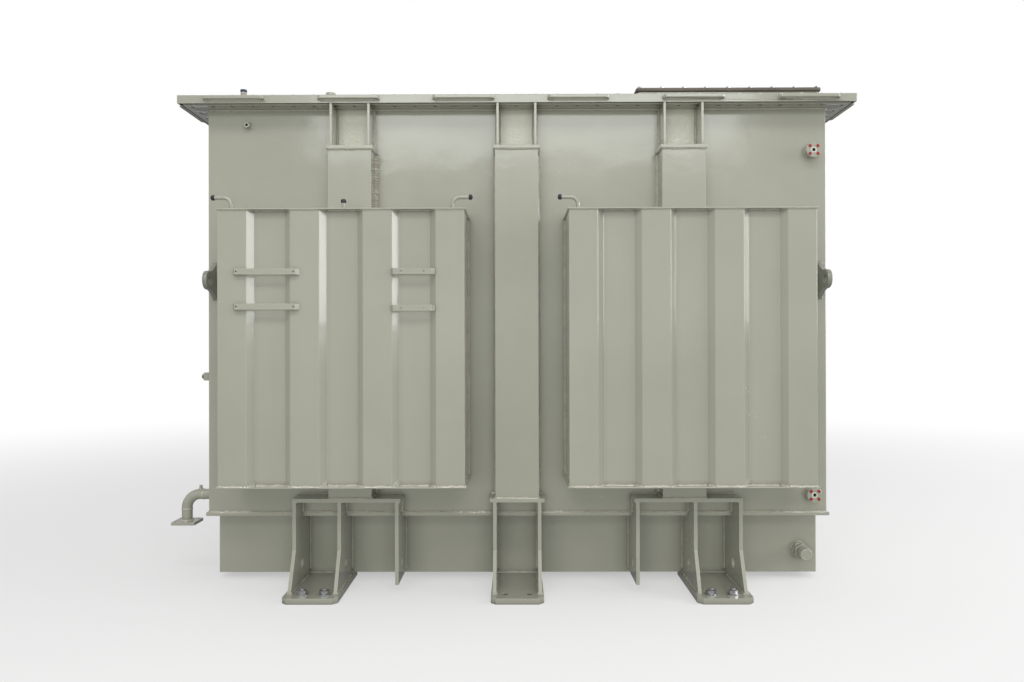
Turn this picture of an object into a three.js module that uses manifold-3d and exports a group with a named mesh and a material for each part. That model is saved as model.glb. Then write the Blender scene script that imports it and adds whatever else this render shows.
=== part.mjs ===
// Three-phase oil-immersed transformer in a bolted steel tank.
//
// Millimetres, +Z up, +X to the right and -Y to the front, where the vent pipes, the nameplate rails
// and the drain valve are. The lengths below are measured from the middle of the tank and from the
// soles of the feet. The whole group is then moved so that the middle of its bounding box is at 0, 0.

import * as THREE from 'three';
import { mergeVertices } from 'three/addons/utils/BufferGeometryUtils.js';
import Module from 'manifold-3d';

const wasm = await Module();
wasm.setup();

// ---------------------------------------------------------------- driving dimensions

const GAP = 0.3; // between two separate pieces that touch

// Tank: an upper box, a ledge at its waist and a narrower lower box.
const HALF_LENGTH = 1390;
const HALF_DEPTH = 580;
const WALL = 8;
const LOWER_HALF_DEPTH = 450;
const FLOOR_UNDERSIDE = 26;
const FLOOR_THICKNESS = 10;
const LEDGE_BOTTOM = 318;
const LEDGE_THICKNESS = 14;
const LEDGE_LIP = 10;
const LEDGE_TOP = LEDGE_BOTTOM + LEDGE_THICKNESS;

// Top flange, gasket and cover.
const FLANGE_BOTTOM = 2145;
const FLANGE_THICKNESS = 15;
const FLANGE_REACH = 83;
const FLANGE_INSET = 20;
const GASKET_BOTTOM = FLANGE_BOTTOM + FLANGE_THICKNESS + GAP;
const GASKET_THICKNESS = 4;
const GASKET_WIDTH = 45;
const COVER_BOTTOM = GASKET_BOTTOM + GASKET_THICKNESS + GAP;
const COVER_THICKNESS = 20;
const COVER_TOP = COVER_BOTTOM + COVER_THICKNESS;
const COVER_REACH = 101;
const RIM_THICKNESS = 8;
const RIM_BOTTOM = 2148;

// Cable tie bars around the cover's rim.
const TIE_BAR_LENGTH = 268;
const TIE_BAR_STANDOFF = 25;
const TIE_BAR_THICKNESS = 8;
const TIE_BAR_HEIGHT = 15;
const TIE_BAR_Z = 2168;
const TIE_BAR_PITCH = 503;
const TIE_BAR_SHIFT = 20;
const TIE_BARS_LONG = 6;
const SIDE_TIE_BARS_Y = [-457, 46];

// Upright stiffeners on both long walls.
const STIFFENER_PITCH = 730;
const STIFFENER_HALF_WIDTH = 95;
const STIFFENER_DEPTH = 115;
const STIFFENER_SHEET = 8;
const CAP_BOTTOM = 1942;
const CAP_THICKNESS = 16;
const CAP_OVERHANG = 8;
const HEAD_GUSSET_OFFSET = 82.5;
const HEAD_GUSSET_THICKNESS = 12;
const HEAD_GUSSET_DEPTH = 110;

// Feet.
const SHELF_TOP = 416;
const SHELF_THICKNESS = 16;
const SHELF_DEPTH = 121;
const BASE_THICKNESS = 25;
const BASE_FRONT = 839;
const BASE_BACK = 400;
const BASE_CHAMFER = 22;
const GUSSET_THICKNESS = 15;
const GUSSET_FRONT = 700;
const GUSSET_KNEE_Z = 191;
const GUSSET_TOE = 782;
const GUSSET_BACK_FOOT = 30;
const SHORT_GUSSET_BOTTOM = 40;
const GUSSET_HOLE_RADIUS = 24;
const GUSSET_HOLE_Y = 597;
const GUSSET_HOLE_Z = 110;
const FOOT_HOLE_RADIUS = 13;
const FOOT_HOLE_Y = 778;

// Radiators: shallow oil-filled boxes with a folded front sheet.
const RADIATOR_INNER = 211;
const RADIATOR_OUTER = 1252;
const RADIATOR_BOTTOM = 490;
const RADIATOR_TOP = 1656;
const RADIATOR_DEPTH = 290;
const RADIATOR_PLATE = 6;
const RADIATOR_PLATE_LIP = 6;
const RADIATOR_SHEET = 4;
const RIDGE_COUNT = 4;
const FOLD_DEPTH = 28;
const FOLD_RUN = 28;
const VALLEY_WIDTH = 128;
const NOTCH_CLEARANCE = 1;

// Lashing lugs.
const LUG_X = 1360;
const LUG_THICKNESS = 20;
const LUG_REACH = 130;
const LUG_Z = 1373;
const LUG_BASE_HALF = 86;
const LUG_TIP_RADIUS = 41;
const LUG_HOLE_RADIUS = 20;

// Fittings.
const SAMPLE_X = 1320;
const SAMPLE_HEIGHTS = { upper: 1949, lower: 416 };
const SOCKET_X = -1210;
const SOCKET_Z = 2074;
const EARTH_Z = 944;
const DRAIN_X = 1308;
const DRAIN_Z = 132;
const PIPE_Y = -415;
const PIPE_Z = 385;
const PIPE_RADIUS = 24;
const PIPE_BORE = 20;
const PIPE_BEND = 62;
const PIPE_REACH = 165;
const PIPE_FLANGE_Z = 248;
const PIPE_FLANGE_THICKNESS = 14;
const PIPE_FLANGE_HALF = 55;

// Vent pipes on the front radiators.
const VENT_Y = -(HALF_DEPTH + RADIATOR_DEPTH - 25);
const VENT_RISE = 47;
const VENT_RADIUS = 8.6;
const VENT_BORE = 6;
const VENT_BEND = 30;
const VENT_REACH = 68;
const VENT_PLUG_LENGTH = 16;
const VENT_PLUG_RADIUS = 10.5;

// Rails for the rating plates.
const RAIL_HALF_HEIGHT = 12.5;
const RAIL_SHEET = 4;
const RAIL_STANDOFF = 20;
const RAIL_HOLE_RADIUS = 4;

// Hatch, bushings and tap changer on the cover.
const HATCH = { left: 566, right: 1394, front: -481, back: -1, wall: 10, height: 70 };
const HATCH_COVER_THICKNESS = 14;
const HATCH_COVER_OVERHANG = 12;
const HV_BUSHING_X = [-1000, -680, -360];
const BUSHING_Y = 370;
const BUSHING_HOLE = 52;
const LV_BLOCK = { left: 120, right: 900, halfDepth: 70, height: 60 };
const LV_BAR_X = [210, 410, 610, 810];
const TAP_X = -1260;
const TAP_BOSS_HEIGHT = 26;

// Core and windings.
const PHASE_PITCH = 790;
const CORE_BOTTOM = 160;
const YOKE_HEIGHT = 320;
const WINDOW_HEIGHT = 1000;
const CORE_TOP = CORE_BOTTOM + 2 * YOKE_HEIGHT + WINDOW_HEIGHT;
const CORE_HALF_DEPTH = 165;
const LIMB_RADIUS = 172;
const LIMB_STEPS = [[160, 60], [125, 115], [65, 158]];
const WINDING_BOTTOM = CORE_BOTTOM + YOKE_HEIGHT + 60;
const WINDING_TOP = CORE_TOP - YOKE_HEIGHT - 60;
const LV_RADII = [182, 252];
const HV_RADII = [276, 350];

// The bounding box reaches furthest at the drain pipe's flange on the left, the tie bars on the
// right, the nameplate rails at the front and the radiators at the back.
const REACH_LEFT = HALF_LENGTH + PIPE_REACH + PIPE_FLANGE_HALF;
const REACH_RIGHT = HALF_LENGTH + COVER_REACH + TIE_BAR_STANDOFF + TIE_BAR_THICKNESS / 2;
const RIDGE_Y = HALF_DEPTH + RADIATOR_DEPTH - RADIATOR_PLATE_LIP;
const REACH_FRONT = RIDGE_Y + RAIL_STANDOFF + RAIL_SHEET;
const REACH_BACK = HALF_DEPTH + RADIATOR_DEPTH;

// ---------------------------------------------------------------- shapes

const UP = new THREE.Vector3(0, 1, 0);

function span(a, b) {
  return a < b ? [a, b] : [b, a];
}

function box(x, y, z) {
  const geometry = new THREE.BoxGeometry(x[1] - x[0], y[1] - y[0], z[1] - z[0]);
  return geometry.translate((x[0] + x[1]) / 2, (y[0] + y[1]) / 2, (z[0] + z[1]) / 2);
}

function rod(radius, from, to, sides = 16) {
  const start = new THREE.Vector3(...from);
  const axis = new THREE.Vector3(...to).sub(start);
  const geometry = new THREE.CylinderGeometry(radius, radius, axis.length(), sides);
  const turn = new THREE.Quaternion().setFromUnitVectors(UP, axis.clone().normalize());
  const middle = start.clone().addScaledVector(axis, 0.5);
  return geometry.applyQuaternion(turn).translate(middle.x, middle.y, middle.z);
}

function outline(points) {
  return new THREE.Shape(points.map(([u, v]) => new THREE.Vector2(u, v)));
}

// A plate with its outline in X and Y, between two heights.
function plateXY(shape, z) {
  const geometry = new THREE.ExtrudeGeometry(shape, { depth: z[1] - z[0], bevelEnabled: false });
  return geometry.translate(0, 0, z[0]);
}

// A plate with its outline in Y and Z, between two places along X.
function plateYZ(shape, x) {
  const options = { depth: x[1] - x[0], bevelEnabled: false, curveSegments: 6 };
  const geometry = new THREE.ExtrudeGeometry(shape, options);
  const basis = new THREE.Matrix4().makeBasis(
    new THREE.Vector3(0, 1, 0), new THREE.Vector3(0, 0, 1), new THREE.Vector3(1, 0, 0));
  return geometry.applyMatrix4(basis).translate(x[0], 0, 0);
}

function turned(profile, sides) {
  const points = profile.map(([radius, height]) => new THREE.Vector2(radius, height));
  return new THREE.LatheGeometry(points, sides).rotateX(Math.PI / 2);
}

function pipe(path, radius, bore, sides, steps) {
  const section = new THREE.Shape().absarc(0, 0, radius, 0, 2 * Math.PI);
  section.holes.push(new THREE.Path().absarc(0, 0, bore, 0, 2 * Math.PI, true));
  const curveSegments = sides / 2; // an arc takes two points for each
  const options = { extrudePath: path, steps, curveSegments, bevelEnabled: false };
  return new THREE.ExtrudeGeometry(section, options);
}

// A route that runs straight, turns one right-angled corner on a bend, and runs straight again.
function elbow(start, corner, end, bend) {
  const [a, b, c] = [start, corner, end].map((point) => new THREE.Vector3(...point));
  const towards = (from, to) => from.clone().addScaledVector(to.clone().sub(from).normalize(), bend);
  const path = new THREE.CurvePath();
  path.add(new THREE.LineCurve3(a, towards(b, a)));
  path.add(new THREE.QuadraticBezierCurve3(towards(b, a), b, towards(b, c)));
  path.add(new THREE.LineCurve3(towards(b, c), c));
  return path;
}

// ---------------------------------------------------------------- joining and cutting

function toSolid(geometry) {
  const bare = geometry.clone();
  bare.deleteAttribute('normal');
  bare.deleteAttribute('uv');
  const merged = mergeVertices(bare);
  const corners = merged.index.array;
  const triangles = [];
  for (let i = 0; i < corners.length; i += 3) {
    const [a, b, c] = [corners[i], corners[i + 1], corners[i + 2]];
    if (a !== b && b !== c && c !== a) triangles.push(a, b, c);
  }
  return new wasm.Manifold(new wasm.Mesh({
    numProp: 3,
    vertProperties: new Float32Array(merged.attributes.position.array),
    triVerts: new Uint32Array(triangles),
  }));
}

function toGeometry(solid) {
  const mesh = solid.getMesh();
  const geometry = new THREE.BufferGeometry();
  geometry.setAttribute('position', new THREE.BufferAttribute(new Float32Array(mesh.vertProperties), 3));
  geometry.setIndex(new THREE.BufferAttribute(new Uint32Array(mesh.triVerts), 1));
  const faceted = geometry.toNonIndexed();
  faceted.computeVertexNormals();
  return faceted;
}

function join(...geometries) {
  return toGeometry(geometries.map(toSolid).reduce((sum, next) => sum.add(next)));
}

function cut(base, ...tools) {
  return toGeometry(tools.map(toSolid).reduce((rest, tool) => rest.subtract(tool), toSolid(base)));
}

function frame(outerX, outerY, innerX, innerY, z) {
  return cut(box([-outerX, outerX], [-outerY, outerY], z),
    box([-innerX, innerX], [-innerY, innerY], [z[0] - 1, z[1] + 1]));
}

// ---------------------------------------------------------------- materials

const finishes = {
  tankPaint: [0xa9aa9b, 0.42, 0.1],
  darkPaint: [0x46463e, 0.6, 0.2],
  plugPlastic: [0x2c2f33, 0.5, 0],
  gasketRubber: [0x26241f, 0.85, 0],
  barePlate: [0x5a5449, 0.6, 0.6],
  coreSteel: [0x777a80, 0.5, 0.9],
  clampSteel: [0x8a8d8a, 0.5, 0.7],
  copper: [0xb06a3c, 0.4, 0.9],
  insulation: [0xb99b6b, 0.8, 0],
  epoxy: [0x7a3b2a, 0.35, 0],
  brass: [0xb08d4c, 0.35, 0.9],
};

const transformer = new THREE.Group();
transformer.name = 'oil_transformer';

function addPart(name, geometry, finish, aboutFace = false) {
  const [color, roughness, metalness] = finishes[finish];
  const mesh = new THREE.Mesh(geometry, new THREE.MeshStandardMaterial({ color, roughness, metalness }));
  mesh.name = name;
  if (aboutFace) mesh.rotation.z = Math.PI;
  transformer.add(mesh);
  return mesh;
}

// Both long walls carry the same pieces. A rear piece is the opposite front one, turned about Z.
function addToBothWalls(label, make, finish) {
  const placed = { left: -1, right: 1 };
  for (const [side, sign] of Object.entries(placed)) {
    addPart(`front_${side}_${label}`, make(sign), finish);
    addPart(`rear_${side}_${label}`, make(-sign), finish, true);
  }
}

// ---------------------------------------------------------------- tank

function makeUpperShell() {
  const z = [LEDGE_TOP + GAP, FLANGE_BOTTOM - GAP];
  return frame(HALF_LENGTH, HALF_DEPTH, HALF_LENGTH - WALL, HALF_DEPTH - WALL, z);
}

function makeLowerShell() {
  const top = LEDGE_BOTTOM - GAP;
  return cut(
    box([-HALF_LENGTH, HALF_LENGTH], [-LOWER_HALF_DEPTH, LOWER_HALF_DEPTH], [FLOOR_UNDERSIDE, top]),
    box([WALL - HALF_LENGTH, HALF_LENGTH - WALL], [WALL - LOWER_HALF_DEPTH, LOWER_HALF_DEPTH - WALL],
      [FLOOR_UNDERSIDE + FLOOR_THICKNESS, top + 1]));
}

addPart('upper_tank_shell', makeUpperShell(), 'tankPaint');
addPart('lower_tank_shell', makeLowerShell(), 'tankPaint');
addPart('waist_ledge', frame(HALF_LENGTH + LEDGE_LIP, HALF_DEPTH + LEDGE_LIP,
  HALF_LENGTH - WALL, LOWER_HALF_DEPTH - WALL, [LEDGE_BOTTOM, LEDGE_TOP]), 'tankPaint');
addPart('tank_flange', frame(HALF_LENGTH + FLANGE_REACH, HALF_DEPTH + FLANGE_REACH,
  HALF_LENGTH - FLANGE_INSET, HALF_DEPTH - FLANGE_INSET,
  [FLANGE_BOTTOM, FLANGE_BOTTOM + FLANGE_THICKNESS]), 'tankPaint');

// ---------------------------------------------------------------- stiffeners and feet

function makeStiffener(x) {
  const wall = -(HALF_DEPTH + GAP);
  const front = -(HALF_DEPTH + STIFFENER_DEPTH);
  const half = STIFFENER_HALF_WIDTH;
  const inner = half - STIFFENER_SHEET;
  const channel = plateXY(outline([
    [x - half, wall], [x - half, front], [x + half, front], [x + half, wall],
    [x + inner, wall], [x + inner, front + STIFFENER_SHEET],
    [x - inner, front + STIFFENER_SHEET], [x - inner, wall],
  ]), [SHELF_TOP + GAP, CAP_BOTTOM + 1]);
  const cap = box([x - half - CAP_OVERHANG, x + half + CAP_OVERHANG], [front - CAP_OVERHANG, wall],
    [CAP_BOTTOM, CAP_BOTTOM + CAP_THICKNESS]);
  const gussets = [-1, 1].map((side) => {
    const centre = x + side * HEAD_GUSSET_OFFSET;
    return box([centre - HEAD_GUSSET_THICKNESS / 2, centre + HEAD_GUSSET_THICKNESS / 2],
      [-(HALF_DEPTH + HEAD_GUSSET_DEPTH), wall], [CAP_BOTTOM + 1, FLANGE_BOTTOM - GAP]);
  });
  return join(channel, cap, ...gussets);
}

// A gusset's outline in Y and Z. It steps back under the ledge to reach the lower box, and a long one
// slopes forward to the toe of its base plate.
function gussetOutline(reachesBase) {
  const top = SHELF_TOP - SHELF_THICKNESS + 1;
  const ledgeLine = -(HALF_DEPTH + LEDGE_LIP + GAP);
  const lowerWall = -(LOWER_HALF_DEPTH + GAP);
  const heel = reachesBase ? BASE_THICKNESS - 1 : SHORT_GUSSET_BOTTOM;
  const back = [
    [-(HALF_DEPTH + GAP), top], [-(HALF_DEPTH + GAP), LEDGE_TOP + GAP], [ledgeLine, LEDGE_TOP + GAP],
    [ledgeLine, LEDGE_BOTTOM - GAP], [lowerWall, LEDGE_BOTTOM - GAP], [lowerWall, SHORT_GUSSET_BOTTOM],
  ];
  const foot = reachesBase
    ? [[lowerWall - GUSSET_BACK_FOOT, heel], [-GUSSET_TOE, heel], [-GUSSET_FRONT, GUSSET_KNEE_Z]]
    : [[-GUSSET_FRONT, heel]];
  return outline([...back, ...foot, [-GUSSET_FRONT, top]]);
}

// shelf and base are spans along X; each gusset has a place along X and may reach the base.
function makeFoot({ shelf, base, gussets, holes }) {
  const wall = -(HALF_DEPTH + GAP);
  const shelfPlate = box(shelf, [-(HALF_DEPTH + SHELF_DEPTH), wall],
    [SHELF_TOP - SHELF_THICKNESS, SHELF_TOP]);
  const ribs = gussets.map(({ x, reachesBase }) => plateYZ(gussetOutline(reachesBase),
    [x - GUSSET_THICKNESS / 2, x + GUSSET_THICKNESS / 2]));
  const basePlate = plateXY(outline([
    [base[0], -BASE_BACK], [base[0], BASE_CHAMFER - BASE_FRONT], [base[0] + BASE_CHAMFER, -BASE_FRONT],
    [base[1] - BASE_CHAMFER, -BASE_FRONT], [base[1], BASE_CHAMFER - BASE_FRONT], [base[1], -BASE_BACK],
  ]), [0, BASE_THICKNESS]);
  const drills = holes.map((x) => rod(FOOT_HOLE_RADIUS,
    [x, -FOOT_HOLE_Y, -1], [x, -FOOT_HOLE_Y, BASE_THICKNESS + 1], 12));
  const jackingHoles = gussets.map(({ x }) => rod(GUSSET_HOLE_RADIUS,
    [x - GUSSET_THICKNESS, -GUSSET_HOLE_Y, GUSSET_HOLE_Z],
    [x + GUSSET_THICKNESS, -GUSSET_HOLE_Y, GUSSET_HOLE_Z], 14));
  return cut(join(shelfPlate, basePlate, ...ribs), ...drills, ...jackingHoles);
}

function makeOuterFoot(sign) {
  return makeFoot({
    shelf: span(sign * 510, sign * 980),
    base: span(sign * 756, sign * 992),
    gussets: [{ x: sign * 972.5, reachesBase: true }, { x: sign * 776, reachesBase: true },
      { x: sign * 525, reachesBase: false }],
    holes: [sign * 916, sign * 822],
  });
}

function makeMiddleFoot() {
  return makeFoot({
    shelf: [-119, 119],
    base: [-112, 112],
    gussets: [{ x: -97.5, reachesBase: true }, { x: 97.5, reachesBase: true }],
    holes: [-52, 52],
  });
}

addToBothWalls('stiffener', (sign) => makeStiffener(sign * STIFFENER_PITCH), 'tankPaint');
addPart('front_middle_stiffener', makeStiffener(0), 'tankPaint');
addPart('rear_middle_stiffener', makeStiffener(0), 'tankPaint', true);
addToBothWalls('foot', makeOuterFoot, 'tankPaint');
addPart('front_middle_foot', makeMiddleFoot(), 'tankPaint');
addPart('rear_middle_foot', makeMiddleFoot(), 'tankPaint', true);

// ---------------------------------------------------------------- radiators

// The folded sheet's line from its inner edge at the tank wall, along the front, and back to the wall,
// set in by a sheet's thickness for its inner face.
function sheetLine(inset) {
  const inner = RADIATOR_INNER + RADIATOR_PLATE_LIP + inset;
  const outer = RADIATOR_OUTER - RADIATOR_PLATE_LIP - inset;
  const ridgeY = -(RIDGE_Y - inset);
  const valleyY = ridgeY + FOLD_DEPTH;
  const sheetWidth = RADIATOR_OUTER - RADIATOR_INNER - 2 * RADIATOR_PLATE_LIP;
  const period = (sheetWidth + VALLEY_WIDTH + 2 * FOLD_RUN) / RIDGE_COUNT;
  const line = [[inner, -(HALF_DEPTH + GAP)], [inner, ridgeY]];
  for (let ridge = 1; ridge < RIDGE_COUNT; ridge += 1) {
    const nextRidge = RADIATOR_INNER + RADIATOR_PLATE_LIP + ridge * period;
    const ridgeEnd = nextRidge - VALLEY_WIDTH - 2 * FOLD_RUN;
    line.push([ridgeEnd, ridgeY], [ridgeEnd + FOLD_RUN, valleyY]);
    line.push([nextRidge - FOLD_RUN, valleyY], [nextRidge, ridgeY]);
  }
  line.push([outer, ridgeY], [outer, -(HALF_DEPTH + GAP)]);
  return line;
}

function makeRadiator(sign) {
  const section = [...sheetLine(0), ...sheetLine(RADIATOR_SHEET).reverse()].map(([x, y]) => [sign * x, y]);
  const sheet = plateXY(outline(section), [RADIATOR_BOTTOM + 1, RADIATOR_TOP - 1]);
  const plates = [RADIATOR_BOTTOM, RADIATOR_TOP - RADIATOR_PLATE].map((bottom) => box(
    span(sign * RADIATOR_INNER, sign * RADIATOR_OUTER), [-(HALF_DEPTH + RADIATOR_DEPTH), -(HALF_DEPTH + GAP)],
    [bottom, bottom + RADIATOR_PLATE]));
  const half = STIFFENER_HALF_WIDTH + NOTCH_CLEARANCE;
  const notch = box([sign * STIFFENER_PITCH - half, sign * STIFFENER_PITCH + half],
    [-(HALF_DEPTH + STIFFENER_DEPTH + NOTCH_CLEARANCE), -HALF_DEPTH + 1],
    [RADIATOR_BOTTOM - 1, RADIATOR_TOP + 1]);
  return cut(join(sheet, ...plates), notch);
}

addToBothWalls('radiator', makeRadiator, 'tankPaint');

// ---------------------------------------------------------------- lashing lugs

// A lug stands on edge against the long wall: a wide root, hollow flanks and a round tip with its hole.
function makeLug(sign) {
  const wall = -(HALF_DEPTH + GAP);
  const tipY = -(HALF_DEPTH + LUG_REACH - LUG_TIP_RADIUS);
  const flankY = (wall + tipY) / 2;
  const shape = new THREE.Shape();
  shape.moveTo(wall, LUG_Z - LUG_BASE_HALF);
  shape.lineTo(wall, LUG_Z + LUG_BASE_HALF);
  shape.quadraticCurveTo(flankY, LUG_Z + LUG_TIP_RADIUS, tipY, LUG_Z + LUG_TIP_RADIUS);
  shape.absarc(tipY, LUG_Z, LUG_TIP_RADIUS, Math.PI / 2, 1.5 * Math.PI, false);
  shape.quadraticCurveTo(flankY, LUG_Z - LUG_TIP_RADIUS, wall, LUG_Z - LUG_BASE_HALF);
  shape.holes.push(new THREE.Path().absarc(tipY, LUG_Z, LUG_HOLE_RADIUS, 0, 2 * Math.PI, true));
  return plateYZ(shape, [sign * LUG_X - LUG_THICKNESS / 2, sign * LUG_X + LUG_THICKNESS / 2]);
}

addToBothWalls('lashing_lug', makeLug, 'darkPaint');

// ---------------------------------------------------------------- rails for the rating plates

// A flat bar across two ridges, with both ends bent back to the sheet.
function makeRail(left, right, z, holeSpacing) {
  const ridge = -(RIDGE_Y + GAP);
  const face = -(RIDGE_Y + RAIL_STANDOFF + RAIL_SHEET);
  const bend = RAIL_STANDOFF * 0.7;
  const bar = plateXY(outline([
    [left, ridge], [left + bend, face], [right - bend, face], [right, ridge],
    [right - RAIL_SHEET * 1.5, ridge], [right - bend - RAIL_SHEET, face + RAIL_SHEET],
    [left + bend + RAIL_SHEET, face + RAIL_SHEET], [left + RAIL_SHEET * 1.5, ridge],
  ]), [z - RAIL_HALF_HEIGHT, z + RAIL_HALF_HEIGHT]);
  const centre = (left + right) / 2;
  const drills = [-1, 1].map((side) => {
    const x = centre + side * holeSpacing / 2;
    return rod(RAIL_HOLE_RADIUS, [x, face - 1, z], [x, face + RAIL_SHEET + 1, z], 8);
  });
  return cut(bar, ...drills);
}

addPart('rating_plate_upper_rail', makeRail(-1180, -903, 1391, 238), 'tankPaint');
addPart('rating_plate_lower_rail', makeRail(-1180, -903, 1246, 238), 'tankPaint');
addPart('diagram_plate_upper_rail', makeRail(-525, -338, 1391, 93), 'tankPaint');
addPart('diagram_plate_lower_rail', makeRail(-525, -338, 1240, 93), 'tankPaint');

// ---------------------------------------------------------------- vent pipes and their plugs

// A bent vent rises from the radiator's top plate and turns level. heading is -1 for left, 1 for right.
function makeBentVent(x, heading) {
  const base = RADIATOR_TOP + GAP;
  const level = RADIATOR_TOP + VENT_RISE;
  const end = [x + heading * VENT_REACH, VENT_Y, level];
  const path = elbow([x, VENT_Y, base], [x, VENT_Y, level], end, VENT_BEND);
  return join(pipe(path, VENT_RADIUS, VENT_BORE, 8, 11));
}

// A plug has a hexagonal head and a round spigot that turns in the bore of its pipe.
function makeVentPlug(start, direction) {
  const along = (distance) => start.map((value, axis) => value + direction[axis] * distance);
  return join(rod(VENT_PLUG_RADIUS, along(GAP), along(VENT_PLUG_LENGTH), 6),
    rod(VENT_BORE - 0.6, along(-12), along(GAP + 1), 8));
}

const BENT_VENTS = {
  left_outer: { x: -1194, heading: -1 },
  left_inner: { x: -268, heading: 1 },
  right_inner: { x: 256, heading: -1 },
};
for (const [place, { x, heading }] of Object.entries(BENT_VENTS)) {
  const end = [x + heading * VENT_REACH, VENT_Y, RADIATOR_TOP + VENT_RISE];
  addPart(`${place}_vent_pipe`, makeBentVent(x, heading), 'tankPaint');
  addPart(`${place}_vent_plug`, makeVentPlug(end, [heading, 0, 0]), 'plugPlastic');
}

const NIPPLE = { x: -723, top: RADIATOR_TOP + 24 };
addPart('left_middle_vent_pipe', cut(
  rod(VENT_RADIUS, [NIPPLE.x, VENT_Y, RADIATOR_TOP + GAP], [NIPPLE.x, VENT_Y, NIPPLE.top], 12),
  rod(VENT_BORE, [NIPPLE.x, VENT_Y, RADIATOR_TOP - 1], [NIPPLE.x, VENT_Y, NIPPLE.top + 1], 12)), 'tankPaint');
addPart('left_middle_vent_plug', makeVentPlug([NIPPLE.x, VENT_Y, NIPPLE.top], [0, 0, 1]), 'plugPlastic');

// ---------------------------------------------------------------- fittings on the walls

function makeSampleFlange(z) {
  const wall = -(HALF_DEPTH + GAP);
  const face = -(HALF_DEPTH + 50);
  const neck = rod(21, [SAMPLE_X, wall, z], [SAMPLE_X, face + 5, z]);
  const disc = rod(33, [SAMPLE_X, face + 14, z], [SAMPLE_X, face, z], 20);
  return cut(join(neck, disc), rod(7, [SAMPLE_X, face - 1, z], [SAMPLE_X, wall + 1, z], 10));
}

function makeSocket() {
  const wall = -(HALF_DEPTH + GAP);
  return cut(rod(12.5, [SOCKET_X, wall, SOCKET_Z], [SOCKET_X, wall - 25, SOCKET_Z]),
    rod(5.5, [SOCKET_X, wall + 1, SOCKET_Z], [SOCKET_X, wall - 26, SOCKET_Z], 8));
}

// Two hexagons with a groove between them, then a threaded end for the cap.
const DRAIN_WALL = -(LOWER_HALF_DEPTH + GAP);
function makeDrainValve() {
  const at = (depth) => [DRAIN_X, DRAIN_WALL - depth, DRAIN_Z];
  const parts = [rod(32, at(0), at(10), 16), rod(39, at(8), at(30), 6), rod(29, at(28), at(44), 16),
    rod(37, at(40), at(58), 6), rod(20, at(56), at(98), 16)];
  return cut(join(...parts), rod(12, at(-1), at(99), 10));
}

function makeDrainCap() {
  const at = (depth) => [DRAIN_X, DRAIN_WALL - depth, DRAIN_Z];
  return cut(rod(28, at(66), at(108), 20), rod(21, at(65), at(99.5), 16));
}

function makeDrainPipe() {
  const cornerX = -(HALF_LENGTH + PIPE_REACH);
  const path = elbow([-(HALF_LENGTH + GAP), PIPE_Y, PIPE_Z], [cornerX, PIPE_Y, PIPE_Z],
    [cornerX, PIPE_Y, PIPE_FLANGE_Z + 2], PIPE_BEND);
  const flange = box([cornerX - PIPE_FLANGE_HALF, cornerX + PIPE_FLANGE_HALF],
    [PIPE_Y - PIPE_FLANGE_HALF, PIPE_Y + PIPE_FLANGE_HALF],
    [PIPE_FLANGE_Z, PIPE_FLANGE_Z + PIPE_FLANGE_THICKNESS]);
  const bores = [[-1, -1], [-1, 1], [1, -1], [1, 1]].map(([i, j]) => rod(7,
    [cornerX + i * 40, PIPE_Y + j * 40, PIPE_FLANGE_Z - 1],
    [cornerX + i * 40, PIPE_Y + j * 40, PIPE_FLANGE_Z + PIPE_FLANGE_THICKNESS + 1], 8));
  const through = rod(PIPE_BORE, [cornerX, PIPE_Y, PIPE_FLANGE_Z - 1],
    [cornerX, PIPE_Y, PIPE_FLANGE_Z + PIPE_FLANGE_THICKNESS + 3], 12);
  const bleedX = -(HALF_LENGTH + 100);
  const bleedZ = PIPE_Z + PIPE_RADIUS;
  const bleed = rod(8, [bleedX, PIPE_Y, bleedZ - 3], [bleedX, PIPE_Y, bleedZ + 18], 8);
  return join(pipe(path, PIPE_RADIUS, PIPE_BORE, 12, 14), cut(flange, ...bores, through), bleed);
}

for (const [level, z] of Object.entries(SAMPLE_HEIGHTS)) {
  addPart(`${level}_sample_flange`, makeSampleFlange(z), 'tankPaint');
}
addPart('gauge_socket', makeSocket(), 'tankPaint');
addPart('earthing_boss', box([-(HALF_LENGTH + 33), -(HALF_LENGTH + GAP)], [-560, -520],
  [EARTH_Z - 18, EARTH_Z + 18]), 'tankPaint');
addPart('drain_valve_body', makeDrainValve(), 'tankPaint');
addPart('drain_cap', makeDrainCap(), 'tankPaint');
addPart('drain_pipe', makeDrainPipe(), 'tankPaint');

// ---------------------------------------------------------------- gasket and cover

// A tie bar in plan: a flat C with cut corners, its legs sunk into the rim.
function tieBar(centre, rimDistance) {
  const half = TIE_BAR_LENGTH / 2;
  const out = rimDistance + TIE_BAR_STANDOFF + TIE_BAR_THICKNESS / 2;
  const back = out - TIE_BAR_THICKNESS;
  const root = rimDistance - 3;
  const corner = 10;
  const t = TIE_BAR_THICKNESS;
  return plateXY(outline([
    [centre - half, -root], [centre - half, corner - out], [centre - half + corner, -out],
    [centre + half - corner, -out], [centre + half, corner - out], [centre + half, -root],
    [centre + half - t, -root], [centre + half - t, corner - back - 3],
    [centre + half - corner - 3, -back], [centre - half + corner + 3, -back],
    [centre - half + t, corner - back - 3], [centre - half + t, -root],
  ]), [TIE_BAR_Z - TIE_BAR_HEIGHT / 2, TIE_BAR_Z + TIE_BAR_HEIGHT / 2]);
}

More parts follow.
